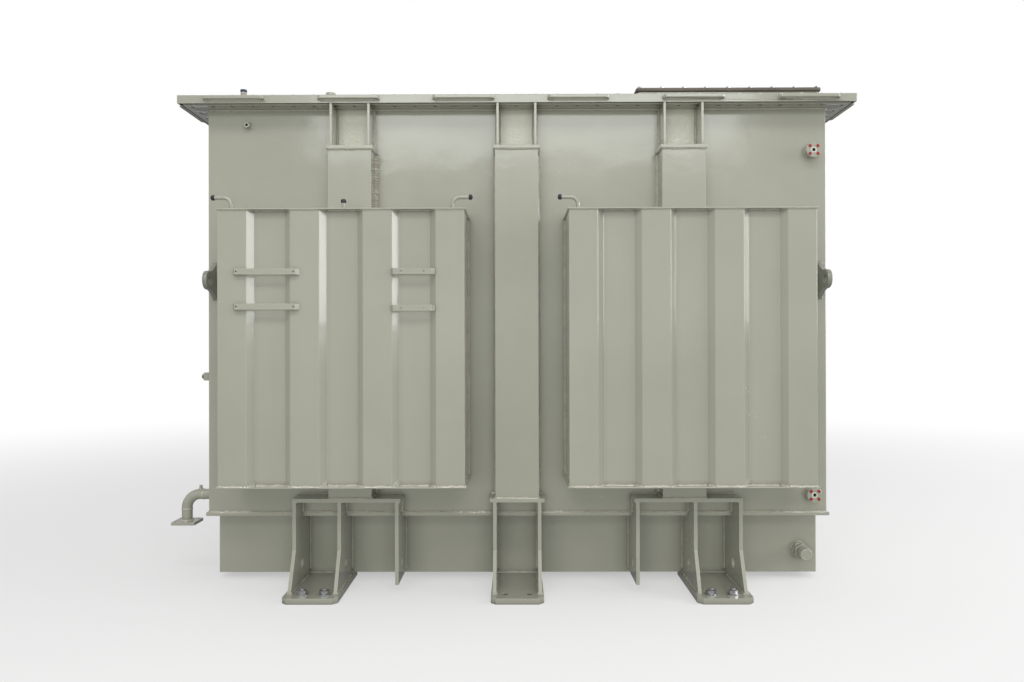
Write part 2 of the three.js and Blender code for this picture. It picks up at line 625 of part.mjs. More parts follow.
function makeTieBars() {
  const bars = [];
  for (let i = 0; i < TIE_BARS_LONG; i += 1) {
    const x = TIE_BAR_SHIFT + (i - (TIE_BARS_LONG - 1) / 2) * TIE_BAR_PITCH;
    for (const turn of [0, Math.PI]) bars.push(tieBar(x, HALF_DEPTH + COVER_REACH).rotateZ(turn));
  }
  for (const y of SIDE_TIE_BARS_Y) {
    for (const side of [-1, 1]) {
      bars.push(tieBar(side * y, HALF_LENGTH + COVER_REACH).rotateZ(side * Math.PI / 2));
    }
  }
  return bars;
}

function makeCover() {
  const [outerX, outerY] = [HALF_LENGTH + COVER_REACH, HALF_DEPTH + COVER_REACH];
  const plate = box([-outerX, outerX], [-outerY, outerY], [COVER_BOTTOM, COVER_TOP]);
  const rim = frame(outerX, outerY, outerX - RIM_THICKNESS, outerY - RIM_THICKNESS,
    [RIM_BOTTOM, COVER_BOTTOM + 1]);
  const collar = box([HATCH.left, HATCH.right], [HATCH.front, HATCH.back],
    [COVER_TOP - 1, COVER_TOP + HATCH.height]);
  const boss = (radius, x, y, height, sides) => rod(radius, [x, y, COVER_TOP - 1],
    [x, y, COVER_TOP + height], sides);
  const ventBoss = boss(14, -1213, -(outerY - 50), 28, 6);
  const dome = boss(22, -828, -(outerY - 62), 25, 16);
  const tapBoss = boss(34, TAP_X, BUSHING_Y, TAP_BOSS_HEIGHT, 16);
  const wall = HATCH.wall;
  const throughZ = [COVER_BOTTOM - 1, COVER_TOP + HATCH.height + 1];
  const hatchway = box([HATCH.left + wall, HATCH.right - wall], [HATCH.front + wall, HATCH.back - wall],
    throughZ);
  const drill = (radius, x, sides) => rod(radius, [x, BUSHING_Y, throughZ[0]],
    [x, BUSHING_Y, throughZ[1]], sides);
  const bushingHoles = HV_BUSHING_X.map((x) => drill(BUSHING_HOLE, x, 12));
  const slot = box([LV_BLOCK.left + 40, LV_BLOCK.right - 40], [BUSHING_Y - 40, BUSHING_Y + 40], throughZ);
  const shaftHole = drill(9, TAP_X, 8);
  const raised = join(plate, rim, collar, ventBoss, dome, tapBoss, ...makeTieBars());
  return cut(raised, hatchway, ...bushingHoles, slot, shaftHole);
}

const gasketX = HALF_LENGTH - FLANGE_INSET + 15;
const gasketY = HALF_DEPTH - FLANGE_INSET + 15;
addPart('cover_gasket', frame(gasketX + GASKET_WIDTH, gasketY + GASKET_WIDTH, gasketX, gasketY,
  [GASKET_BOTTOM, GASKET_BOTTOM + GASKET_THICKNESS]), 'gasketRubber');
addPart('cover_plate', makeCover(), 'tankPaint');

const hatchTop = COVER_TOP + HATCH.height + GAP;
const over = HATCH_COVER_OVERHANG;
addPart('hatch_cover', plateXY(outline([
  [HATCH.left - over + 14, HATCH.front - over], [HATCH.right + over - 14, HATCH.front - over],
  [HATCH.right + over, HATCH.front - over + 14], [HATCH.right + over, HATCH.back + over - 14],
  [HATCH.right + over - 14, HATCH.back + over], [HATCH.left - over + 14, HATCH.back + over],
  [HATCH.left - over, HATCH.back + over - 14], [HATCH.left - over, HATCH.front - over + 14],
]), [hatchTop, hatchTop + HATCH_COVER_THICKNESS]), 'barePlate');

// ---------------------------------------------------------------- bushings and tap changer

// A moulded bushing: a cone above its flange and a stem below it that carries the lead.
function makeHvBushing(x) {
  const seat = COVER_TOP + GAP;
  const heights = [
    [0, -190], [16, -190], [16, -130], [34, -122], [46, -20], [46, 0], [78, 0],
    [78, 18], [50, 24], [46, 60], [28, 170], [16, 172], [16, 205], [0, 205],
  ];
  const profile = heights.map(([radius, height]) => [radius, seat + height]);
  return join(turned(profile, 14).translate(x, BUSHING_Y, 0));
}

// A moulded block with four flat bars through it.
function makeLvBlock() {
  const seat = COVER_TOP + GAP;
  const { left, right, halfDepth, height } = LV_BLOCK;
  const flange = box([left, right], [BUSHING_Y - halfDepth, BUSHING_Y + halfDepth], [seat, seat + 20]);
  const body = box([left + 45, right - 45], [BUSHING_Y - 35, BUSHING_Y + 35], [seat - 45, seat + height]);
  const bars = LV_BAR_X.map((x) => box([x - 40, x + 40], [BUSHING_Y - 6, BUSHING_Y + 6],
    [seat - 180, seat + 190]));
  return join(flange, body, ...bars);
}

function makeTapKnob() {
  const seat = COVER_TOP + TAP_BOSS_HEIGHT + GAP;
  const at = (z) => [TAP_X, BUSHING_Y, z];
  return join(rod(8, at(COVER_BOTTOM - 120), at(seat + 2), 8), rod(40, at(seat), at(seat + 14), 16),
    box([TAP_X - 9, TAP_X + 9], [BUSHING_Y - 55, BUSHING_Y + 38], [seat + 12, seat + 44]));
}

HV_BUSHING_X.forEach((x, i) => addPart(`hv_bushing_${i + 1}`, makeHvBushing(x), 'epoxy'));
addPart('lv_bushing_block', makeLvBlock(), 'epoxy');
addPart('tap_changer_knob', makeTapKnob(), 'brass');

// ---------------------------------------------------------------- core and windings

function makeCore() {
  const end = PHASE_PITCH + LIMB_RADIUS;
  const yokes = [CORE_BOTTOM, CORE_TOP - YOKE_HEIGHT].map((bottom) => join(
    box([-end, end], [-110, 110], [bottom, bottom + YOKE_HEIGHT]),
    box([-end, end], [-CORE_HALF_DEPTH, CORE_HALF_DEPTH], [bottom + 50, bottom + YOKE_HEIGHT - 50])));
  const limbs = [-1, 0, 1].flatMap((phase) => {
    const x = phase * PHASE_PITCH;
    const z = [CORE_BOTTOM + YOKE_HEIGHT - 60, CORE_TOP - YOKE_HEIGHT + 60];
    return LIMB_STEPS.map(([halfX, halfY]) => box([x - halfX, x + halfX], [-halfY, halfY], z));
  });
  return join(...yokes, ...limbs);
}

function makeWinding(phase, [inner, outer]) {
  const x = phase * PHASE_PITCH;
  return cut(rod(outer, [x, 0, WINDING_BOTTOM], [x, 0, WINDING_TOP], 24),
    rod(inner, [x, 0, WINDING_BOTTOM - 1], [x, 0, WINDING_TOP + 1], 24));
}

// One clamp holds both yokes from one side. Its tie bars run up between the windings, and its two feet
// stand on the tank floor.
function makeCoreClamp() {
  const face = -(CORE_HALF_DEPTH + GAP);
  const reach = PHASE_PITCH + 420;
  const lower = box([-reach, reach], [face - 50, face], [CORE_BOTTOM + 60, CORE_BOTTOM + 270]);
  const upper = box([-reach, reach], [face - 50, face], [CORE_TOP - 270, CORE_TOP - 60]);
  const ties = [-1.5, -0.5, 0.5, 1.5].map((step) => {
    const x = step * PHASE_PITCH;
    return box([x - 18, x + 18], [face - 24, face], [CORE_BOTTOM + 80, CORE_TOP - 80]);
  });
  const feet = [-1, 1].map((side) => box([side * 700 - 60, side * 700 + 60], [face - 50, face],
    [FLOOR_UNDERSIDE + FLOOR_THICKNESS + GAP, CORE_BOTTOM + 80]));
  return join(lower, upper, ...ties, ...feet);
}

addPart('core', makeCore(), 'coreSteel');
addPart('front_core_clamp', makeCoreClamp(), 'clampSteel');
addPart('rear_core_clamp', makeCoreClamp(), 'clampSteel', true);
[['left', -1], ['middle', 0], ['right', 1]].forEach(([place, phase]) => {
  addPart(`${place}_lv_winding`, makeWinding(phase, LV_RADII), 'copper');
  addPart(`${place}_hv_winding`, makeWinding(phase, HV_RADII), 'insulation');
});

transformer.position.set((REACH_LEFT - REACH_RIGHT) / 2, (REACH_FRONT - REACH_BACK) / 2, 0);

export default transformer;
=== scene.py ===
"""Looks for an oil-immersed transformer in a painted steel tank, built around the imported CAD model.

Metres, +Z up, +X to the right and -Y to the front. Every CAD node that shows keeps its own mesh, with
bevelled edges and a procedural material. Small round parts are rebuilt finer, and welds, bolts and
other details are added. Each added piece rides on the CAD body that it is fixed to.
"""

import math
import random

import bpy
import bmesh
from mathutils import Matrix, Vector


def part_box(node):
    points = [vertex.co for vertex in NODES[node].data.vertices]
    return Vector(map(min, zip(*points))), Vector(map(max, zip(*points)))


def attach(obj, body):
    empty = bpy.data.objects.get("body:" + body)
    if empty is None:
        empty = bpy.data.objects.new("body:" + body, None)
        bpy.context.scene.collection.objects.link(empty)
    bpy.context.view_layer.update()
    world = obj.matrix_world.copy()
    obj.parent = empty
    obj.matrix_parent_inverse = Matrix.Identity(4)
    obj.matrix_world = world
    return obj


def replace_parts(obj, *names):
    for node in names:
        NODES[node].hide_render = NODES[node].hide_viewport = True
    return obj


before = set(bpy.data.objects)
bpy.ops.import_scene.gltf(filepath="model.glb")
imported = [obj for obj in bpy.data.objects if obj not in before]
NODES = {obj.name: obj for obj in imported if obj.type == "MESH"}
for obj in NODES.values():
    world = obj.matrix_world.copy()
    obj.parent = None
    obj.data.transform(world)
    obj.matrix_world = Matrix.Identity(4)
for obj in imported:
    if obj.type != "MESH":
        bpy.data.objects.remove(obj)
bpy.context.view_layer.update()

X0, Y0 = 0.045, 0.009  # the tank's middle in the row frame
TAU = 2 * math.pi
UP, DOWN = Vector((0, 0, 1)), Vector((0, 0, -1))
FRONT, BACK = Vector((0, -1, 0)), Vector((0, 1, 0))
LEFT, RIGHT = Vector((-1, 0, 0)), Vector((1, 0, 0))


def at(x, y, z):
    """A point in the row frame, from millimetres measured from the tank's middle and the soles."""
    return Vector((x / 1000 + X0, y / 1000 + Y0, z / 1000))


def new_object(name, data):
    made = bpy.data.objects.new(name, data)
    bpy.context.scene.collection.objects.link(made)
    return made


# ------------ node trees


class Nodes:
    """The node tree of a new material or world, with short calls to add and link nodes."""

    def __init__(self, name, library=None):
        self.made = (bpy.data.materials if library is None else library).new(name)
        self.made.use_nodes = True
        self.tree = self.made.node_tree
        self.shader = self.tree.nodes.get("Principled BSDF")
        self.place = self.add("TexCoord").outputs["Object"]

    def add(self, kind, inputs=None, **settings):
        node = self.tree.nodes.new("ShaderNode" + kind)
        for key, value in settings.items():
            setattr(node, key, value)
        for key, value in (inputs or {}).items():
            self.put(node.inputs[key], value)
        return node

    def put(self, socket, value):
        if isinstance(value, bpy.types.NodeSocket):
            self.tree.links.new(value, socket)
        else:
            socket.default_value = value

    def noise(self, scale, detail=3.0, roughness=0.55, stretch=None, distortion=0.0):
        place = self.place
        if stretch:
            place = self.add("Mapping", {"Vector": place, "Scale": stretch}).outputs[0]
        made = self.add("TexNoise", {"Vector": place, "Scale": scale, "Detail": detail,
                                     "Roughness": roughness, "Distortion": distortion})
        return made.outputs["Fac"]

    def remap(self, value, low, high, to_low=0.0, to_high=1.0, interpolation="LINEAR"):
        ends = {"Value": value, "From Min": low, "From Max": high, "To Min": to_low, "To Max": to_high}
        return self.add("MapRange", ends, clamp=True, interpolation_type=interpolation).outputs["Result"]

    def math(self, operation, a, b=0.0, clamp=False):
        return self.add("Math", {0: a, 1: b}, operation=operation, use_clamp=clamp).outputs[0]

    def times(self, a, b):
        return self.math("MULTIPLY", a, b)

    def off(self, value, middle):
        """How far a value is from the middle, either way."""
        return self.math("ABSOLUTE", self.math("SUBTRACT", value, middle))

    def mix(self, factor, a, b):
        made = self.add("Mix", data_type="RGBA")
        self.put(made.inputs["Factor"], factor)
        self.put(made.inputs[6], a)
        self.put(made.inputs[7], b)
        return made.outputs[2]

    def bump(self, height, distance, normal=None):
        made = self.add("Bump", {"Height": height, "Distance": distance, "Strength": 1.0})
        if normal:
            self.put(made.inputs["Normal"], normal)
        return made.outputs["Normal"]

    def axis(self, index):
        """The place along X, Y or Z in the object's own frame."""
        return self.add("SeparateXYZ", {0: self.place}).outputs[index]

    def normal(self):
        return self.add("NewGeometry").outputs["Normal"]

    def facing_up(self):
        return self.add("SeparateXYZ", {0: self.normal()}).outputs[2]

    def flatness(self, radius):
        """1 on flat faces, and less at an edge, where the normal averaged over the radius leans away."""
        eased = self.add("Bevel", {"Radius": radius}, samples=4).outputs[0]
        return self.add("VectorMath", {0: eased, 1: self.normal()}, operation="DOT_PRODUCT").outputs["Value"]

    def seen_by_camera(self):
        return self.add("LightPath").outputs["Is Camera Ray"]

    def finish(self, colour, roughness, normal=None, **fixed):
        for key, value in (("Base Color", colour), ("Roughness", roughness), ("Normal", normal)):
            if value is not None:
                self.put(self.shader.inputs[key], value)
        for key, value in fixed.items():
            self.shader.inputs[key.replace("_", " ")].default_value = value
        return self.made


# ------------ camera, light and floor

LENS, SENSOR = 28.281, 36
CAMERA_PLACE = (-5.5, -4202.5, 1095.4)  # millimetres, fitted with the turns to the photograph
PITCH, ROLL, YAW = math.radians(0.1095), math.radians(-0.1206), math.radians(0.2574)

ROOM = 0.50  # the room's light on the object. The camera sees the backdrop at full white
FLOOR_REACH, FLOOR_DROP = 60, 0.001
FLOOR_NEAR, FLOOR_FAR = 2.6, 9.0  # the floor fades into the backdrop between these distances
FLOOR_FADE = 0.45  # the share of backdrop mixed in at the object
FLOOR_TONE, FLOOR_TONE_SEEN = 0.32, 0.93  # what the floor sends back to the object, and to the camera
FLOOR_GLOW, FLOOR_GLOW_SEEN = 0.25, 1.0


def make_camera():
    data = bpy.data.cameras.new("camera")
    data.lens, data.sensor_width = LENS, SENSOR
    data.clip_start, data.clip_end = 0.05, 200
    camera = new_object("camera", data)
    camera.location = at(*CAMERA_PLACE)
    turn = Matrix.Rotation(YAW, 3, "Z") @ Matrix.Rotation(math.pi / 2 + PITCH, 3, "X")
    camera.rotation_euler = (turn @ Matrix.Rotation(ROLL, 3, "Z")).to_euler()
    bpy.context.scene.camera = camera


def area_light(name, place, target, size, power):
    data = bpy.data.lights.new(name, "AREA")
    data.shape = "RECTANGLE"
    data.size, data.size_y = size
    data.energy = power
    light = new_object(name, data)
    light.location = place
    light.rotation_euler = (Vector(target) - Vector(place)).to_track_quat("-Z", "Y").to_euler()
    return light


def make_world():
    """A white backdrop for the camera, and an even, dimmer room for the object."""
    n = Nodes("studio", bpy.data.worlds)
    bpy.context.scene.world = n.made
    backdrop = n.tree.nodes["Background"]
    backdrop.inputs["Color"].default_value = (1, 1, 1, 1)
    n.put(backdrop.inputs["Strength"], n.remap(n.seen_by_camera(), 0, 1, ROOM, 1.0))


def make_floor():
    """A pale floor, greyer in what it sends back to the object, which fades out with distance."""
    mesh = bpy.data.meshes.new("floor")
    corners = [(x * FLOOR_REACH, y * FLOOR_REACH, 0) for x, y in ((-1, -1), (1, -1), (1, 1), (-1, 1))]
    mesh.from_pydata(corners, [], [(0, 1, 2, 3)])
    floor = new_object("floor", mesh)
    floor.location.z = -FLOOR_DROP
    n = Nodes("floor_pale")
    tone = n.remap(n.seen_by_camera(), 0, 1, FLOOR_TONE, FLOOR_TONE_SEEN)
    mesh.materials.append(n.finish(tone, 0.9, Specular_IOR_Level=0.1))
    far = n.add("VectorMath", {0: n.place}, operation="LENGTH").outputs["Value"]
    fade = n.remap(far, FLOOR_NEAR, FLOOR_FAR, FLOOR_FADE, interpolation="SMOOTHSTEP")
    strength = n.remap(n.seen_by_camera(), 0, 1, FLOOR_GLOW, FLOOR_GLOW_SEEN)
    glow = n.add("Emission", {"Strength": strength}).outputs[0]
    blend = n.add("MixShader", {0: fade, 1: n.shader.outputs[0], 2: glow}).outputs[0]
    n.put(n.tree.nodes["Material Output"].inputs["Surface"], blend)


make_camera()
make_world()
make_floor()
bpy.context.scene.view_settings.view_transform = "Standard"
area_light("ceiling", (0.2, -6.5, 7.2), (0, 0, 1.2), (9.0, 1.8), 190)
area_light("fill", (-0.4, -9.0, 1.0), (0, 0, 0.7), (7.0, 2.0), 250).visible_glossy = False
area_light("gallery", (0.2, -9.0, 4.5), (0, 0, 1.2), (6.5, 1.3), 70)
area_light("window", (8.0, -1.6, 3.0), (0.0, -0.9, 1.3), (5.6, 3.4), 240)


# ------------ materials

PAINT = (0.392, 0.398, 0.322)
PAINT_DUST, PLASTIC_DUST, RESIN_DUST = (0.40, 0.385, 0.33, 1), (0.36, 0.34, 0.30, 1), (0.34, 0.30, 0.26, 1)
# The first colour is painted shade for corners and gaps; scuff and rust are colours the metal really has.
CORNER_SHADE, SCUFF, RUST = (0.11, 0.10, 0.075, 1), (0.33, 0.30, 0.25, 1), (0.20, 0.085, 0.03, 1)
OIL_STAIN = (0.16, 0.125, 0.075, 1)

WALL_Y = 0.580  # the long walls' outer faces, from the tank's middle
RECESS_X, RECESS_HALF = 0.730, 0.077  # the outer head recesses' middles, and half of any one's width
RECESS_Z, RECESS_RISE = 2.0515, 0.094  # the recesses' mid level, and half their height


def shade(colour, factor):
    return (colour[0] * factor, colour[1] * factor, colour[2] * factor, 1)


def recess_mask(n):
    """1 on the wall inside the three head recesses of either long wall, where the enamel is glossier and
    carries a painted reflection.
    """
    apart = n.off(n.axis(0), X0)
    outer = n.math("LESS_THAN", n.off(apart, RECESS_X), RECESS_HALF)
    middle = n.math("LESS_THAN", apart, RECESS_HALF)
    on_wall = n.math("LESS_THAN", n.off(n.off(n.axis(1), Y0), WALL_Y), 0.002)
    level = n.math("LESS_THAN", n.off(n.axis(2), RECESS_Z), RECESS_RISE)
    return n.times(n.times(n.math("MAXIMUM", outer, middle), on_wall), level)


def paint(name, colour, gloss=0.20, peel=1.0, corner_shade=0.8, recesses=False):
    """Sprayed enamel: uneven coat, orange peel, faint runs, painted shade in corners, dust on top, painted
    highlights on edges, and with recesses a painted reflection in the head recesses.
    """
    n = Nodes(name)
    cloud = n.remap(n.noise(1.7, 4), 0.3, 0.72)
    patch = n.remap(n.noise(11, 5, 0.6), 0.35, 0.7)
    run = n.remap(n.noise(9, 4, 0.6, stretch=(1, 1, 0.07)), 0.42, 0.75)
    grit = n.remap(n.noise(420, 2), 0.62, 0.78)
    dust = n.times(n.remap(n.facing_up(), 0.6, 0.98), n.remap(n.noise(5, 5, 0.65), 0.3, 0.7, 0.25, 0.7))
    # Painted highlight: lighter colour on edges where the normal turns, broken up by noise.
    edge_highlight_breakup = n.remap(n.noise(38, 4, 0.7), 0.35, 0.55, 0.3, 1.0)
    edge = n.times(n.remap(n.flatness(0.004), 0.997, 0.93), edge_highlight_breakup)
    nook = n.add("AmbientOcclusion", {"Distance": 0.028}, samples=4).outputs["AO"]
    base = n.mix(cloud, shade(colour, 0.955), shade(colour, 1.04))
    base = n.mix(n.times(patch, 0.12), base, shade(colour, 1.09))
    base = n.mix(n.times(run, 0.10), base, shade(colour, 0.8))
    base = n.mix(dust, base, PAINT_DUST)
    base = n.mix(n.times(edge, 0.75), base, shade(colour, 1.45))
    base = n.mix(n.times(grit, 0.25), base, shade(colour, 0.62))
    # Painted shade: darker colour in corners, creases and gaps, where ambient occlusion finds them.
    base = n.mix(n.remap(nook, 0.85, 0.35, 0, corner_shade), base, CORNER_SHADE)
    rough = n.remap(n.math("ADD", n.times(patch, 0.5), cloud), 0.2, 1.3, gloss - 0.05, gloss + 0.08)
    rough = n.math("ADD", rough, n.times(dust, 0.35), clamp=True)
    sag = n.bump(n.noise(2.6, 2), 0.0035)
    if recesses:
        recess_reflection = recess_mask(n)
        rough = n.mix(recess_reflection, rough, (0.12, 0.12, 0.12, 1))
        # Painted reflection: the head recesses are lightened; their lower roughness and ripples are the
        # coat's own.
        base = n.mix(n.times(recess_reflection, 0.75), base, shade(colour, 1.6))
        sag = n.bump(n.times(recess_reflection, n.noise(75, 4, 0.6)), 0.0022, sag)
    coat = n.bump(n.noise(34, 3, 0.5), 0.00028 * peel, sag)
    fine = n.bump(n.noise(190, 2, 0.5), 0.00007 * peel, coat)
    n.put(n.shader.inputs["Coat Normal"], fine)
    return n.finish(base, rough, fine, Coat_Weight=1.0, Coat_Roughness=0.09, Coat_IOR=1.55)


def metal(name, colour, rough, grain=220, dull=0.5):
    """Plain or plated metal: brushed grain, dull patches and darker pits."""
    n = Nodes(name)
    patch = n.remap(n.noise(45, 5, 0.65), 0.35, 0.7)
    grit = n.remap(n.noise(grain * 3, 3), 0.55, 0.8)
    base = n.mix(n.times(patch, dull), shade(colour, 1.0), shade(colour, 0.62))
    base = n.mix(n.times(grit, 0.35), base, shade(colour, 0.35))
    lines = n.bump(n.noise(grain, 4, 0.6, stretch=(1, 1, 0.15)), 0.00012)
    return n.finish(base, n.remap(patch, 0, 1, rough, rough + 0.2), lines, Metallic=1.0)


def plastic(name, colour, rough, texture=260):
    """Moulded plastic or rubber: a fine matt texture, scuffs and dust."""
    n = Nodes(name)
    scuff = n.remap(n.noise(30, 6, 0.7), 0.5, 0.75)
    base = n.mix(n.times(scuff, 0.4), shade(colour, 1.0), shade(colour, 1.45))
    base = n.mix(n.times(n.remap(n.facing_up(), 0.4, 1.0), 0.25), base, PLASTIC_DUST)
    return n.finish(base, n.remap(scuff, 0, 1, rough, rough + 0.15), n.bump(n.noise(texture, 3), 0.0001))


def resin(name, colour):
    """Cast resin: a glossy skin with faint flow marks and dust."""
    n = Nodes(name)
    flow = n.remap(n.noise(14, 5, 0.6, distortion=0.6), 0.35, 0.7)
    dust = n.times(n.remap(n.facing_up(), 0.3, 1.0), n.remap(n.noise(40, 5, 0.7), 0.4, 0.7, 0.05, 0.4))
    base = n.mix(flow, shade(colour, 0.85), shade(colour, 1.15))
    base = n.mix(dust, base, RESIN_DUST)
    rough = n.math("ADD", n.remap(flow, 0, 1, 0.16, 0.26), n.times(dust, 0.6), clamp=True)
    return n.finish(base, rough, n.bump(n.noise(70, 3), 0.00012), Coat_Weight=0.4, Coat_Roughness=0.12)


def primer(name, colour):
    """Dull dark primer on rolled plate, with scuffs and a little rust at the edges."""
    n = Nodes(name)
    cloud = n.remap(n.noise(5, 6, 0.65), 0.3, 0.7)
    scuff = n.remap(n.noise(30, 5, 0.7, stretch=(1, 0.25, 1)), 0.56, 0.72)
    edge = n.times(n.remap(n.flatness(0.005), 0.995, 0.9), n.remap(n.noise(60, 5, 0.7), 0.45, 0.6))
    base = n.mix(cloud, shade(colour, 0.8), shade(colour, 1.35))
    base = n.mix(n.times(scuff, 0.5), base, SCUFF)
    base = n.mix(n.times(edge, 0.8), base, RUST)
    return n.finish(base, n.remap(cloud, 0, 1, 0.45, 0.7), n.bump(n.noise(120, 4), 0.0002))


def laminations(name, colour):
    """Cut edges of thin steel sheets stacked along Y, with oil stains."""
    n = Nodes(name)
    wave = {"Vector": n.place, "Scale": 95.0, "Distortion": 0.4, "Detail": 2.0, "Detail Scale": 3.0}
    stripes = n.add("TexWave", wave, wave_type="BANDS", bands_direction="Y").outputs["Fac"]
    packet = n.remap(n.noise(60, 2, stretch=(0.02, 1, 0.02)), 0.35, 0.65)
    stain = n.remap(n.noise(4, 5, 0.6), 0.4, 0.7)
    base = n.mix(stripes, shade(colour, 0.55), shade(colour, 1.1))
    base = n.mix(n.times(packet, 0.5), base, shade(colour, 0.7))
    base = n.mix(n.times(stain, 0.5), base, OIL_STAIN)
    return n.finish(base, n.remap(stain, 0, 1, 0.34, 0.5), n.bump(stripes, 0.0004), Metallic=0.85)


def wrap(name, colour):
    """Oil-soaked paper or board: fibres, mottled stains and a dull sheen."""
    n = Nodes(name)
    mottle = n.remap(n.noise(7, 6, 0.65), 0.3, 0.72)
    fibre = n.noise(300, 3, 0.6, stretch=(1, 1, 0.2))
    base = n.mix(mottle, shade(colour, 0.72), shade(colour, 1.12))
    base = n.mix(n.remap(fibre, 0.45, 0.7, 0, 0.3), base, shade(colour, 0.6))
    return n.finish(base, n.remap(mottle, 0, 1, 0.36, 0.55), n.bump(fibre, 0.0003))


materials = {
    "tank_paint": paint("tank_enamel", PAINT, recesses=True),
    # The welds' enamel is lighter and creamier than the tank's: partly the beads' thin cream coat, partly a
    # painted highlight on the beads.
    "weld_paint": paint("weld_enamel", (0.48, 0.47, 0.38), gloss=0.16, peel=2.0, corner_shade=0.25),
    "lug_paint": paint("lug_enamel", (0.27, 0.275, 0.23), gloss=0.42),
    "clamp_paint": paint("clamp_enamel", (0.16, 0.165, 0.17), gloss=0.35),
    "zinc": metal("zinc_plate", (0.70, 0.71, 0.74), 0.24, dull=0.35),
    # Near-black steel: painted shade in the sample flanges' and gauge socket's bores, and the colour of the
    # cover bolts' ends sunk in the flange holes.
    "black_steel": metal("near_black_steel", (0.055, 0.055, 0.06), 0.45),
    "brass": metal("stud_brass", (0.62, 0.47, 0.22), 0.32),
    "tinned_copper": metal("tinned_bar", (0.66, 0.62, 0.56), 0.26),
    "lv_copper": metal("winding_copper", (0.62, 0.27, 0.14), 0.34),
    "knob_metal": metal("cast_aluminium", (0.60, 0.60, 0.59), 0.38, grain=120),
    "plug_plastic": plastic("vent_cap_plastic", (0.035, 0.038, 0.045), 0.42),
    "red_cap": plastic("thread_cap_plastic", (0.40, 0.006, 0.012), 0.38),
    "seat_ring": plastic("seat_ring_white", (0.72, 0.70, 0.62), 0.45),
    "blue_cap": plastic("breather_cap_plastic", (0.035, 0.06, 0.11), 0.4),
    "gasket_rubber": plastic("gasket_cork_rubber", (0.035, 0.030, 0.026), 0.75, 180),
    "epoxy": resin("cast_resin", (0.19, 0.045, 0.03)),
    "blanking_plate": primer("plate_primer", (0.13, 0.115, 0.095)),
    "core_steel": laminations("core_laminations", (0.34, 0.345, 0.35)),
    "hv_paper": wrap("winding_paper", (0.47, 0.33, 0.17)),
    "board": wrap("pressboard", (0.56, 0.43, 0.25)),
}

# ------------ making pieces


def piece(name, verts, faces, body, slot, material, smooth):
    """A mesh in the row frame that rides on a CAD body. Edges sharper than smooth degrees stay crisp."""
    mesh = bpy.data.meshes.new(name)
    mesh.from_pydata([tuple(v) for v in verts], [], faces)
    cleaned = bmesh.new()
    cleaned.from_mesh(mesh)
    bmesh.ops.recalc_face_normals(cleaned, faces=cleaned.faces)
    for face in cleaned.faces:
        face.smooth = True
    for edge in cleaned.edges:
        edge.smooth = edge.calc_face_angle(math.pi) < math.radians(smooth)
    cleaned.to_mesh(mesh)
    cleaned.free()
    mesh.materials.append(materials[material or slot])
    made = new_object(name, mesh)
    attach(made, body)
    return made


def across(axis):
    """Two unit vectors square to an axis and to each other."""
    u = axis.orthogonal().normalized()
    return u, axis.cross(u).normalized()


def spoke(u, v, angle):
    """The unit vector at an angle from u towards v."""
    return u * math.cos(angle) + v * math.sin(angle)


def circle_at(centre, u, v, radius, sides):
    return [centre + spoke(u, v, TAU * i / sides) * radius for i in range(sides)]


def carried_frames(path):
    """Two vectors across the path at each point, carried along it without twisting."""
    tangents = []
    for i in range(len(path)):
        before, after = path[max(i - 1, 0)], path[min(i + 1, len(path) - 1)]
        tangents.append((after - before).normalized())
    frames = [across(tangents[0])]
    for before, after in zip(tangents, tangents[1:]):
        turn = before.rotation_difference(after)
        u, v = frames[-1]
        frames.append((turn @ u, turn @ v))
    return frames


def rounded(width, depth, radius=0.0, steps=4):
    """A rectangle about the origin with rounded corners, anticlockwise."""
    points = []
    for k, (sx, sy) in enumerate(((1, 1), (-1, 1), (-1, -1), (1, -1))):
        cx, cy = sx * (width / 2 - radius), sy * (depth / 2 - radius)
        if radius <= 0:
            points.append((cx, cy))
            continue
        for i in range(steps + 1):
            a = (k + i / steps) * math.pi / 2
            points.append((cx + radius * math.cos(a), cy + radius * math.sin(a)))
    return points


def circle(cx, cy, radius, sides=20):
    return [(cx + radius * math.cos(TAU * i / sides), cy + radius * math.sin(TAU * i / sides))
            for i in range(sides)]


def bend(start, corner, end, radius, steps=14):
    """A path that turns one corner on an arc."""
    a, b = (start - corner).normalized(), (end - corner).normalized()
    half = a.angle(b) / 2
    run = radius / math.tan(half)
    centre = corner + (a + b).normalized() * (radius / math.sin(half))
    first, last = (corner + way * run - centre for way in (a, b))
    arc = [centre + first.normalized().slerp(last.normalized(), i / steps) * radius for i in range(steps + 1)]
    return [start] + arc + [end]


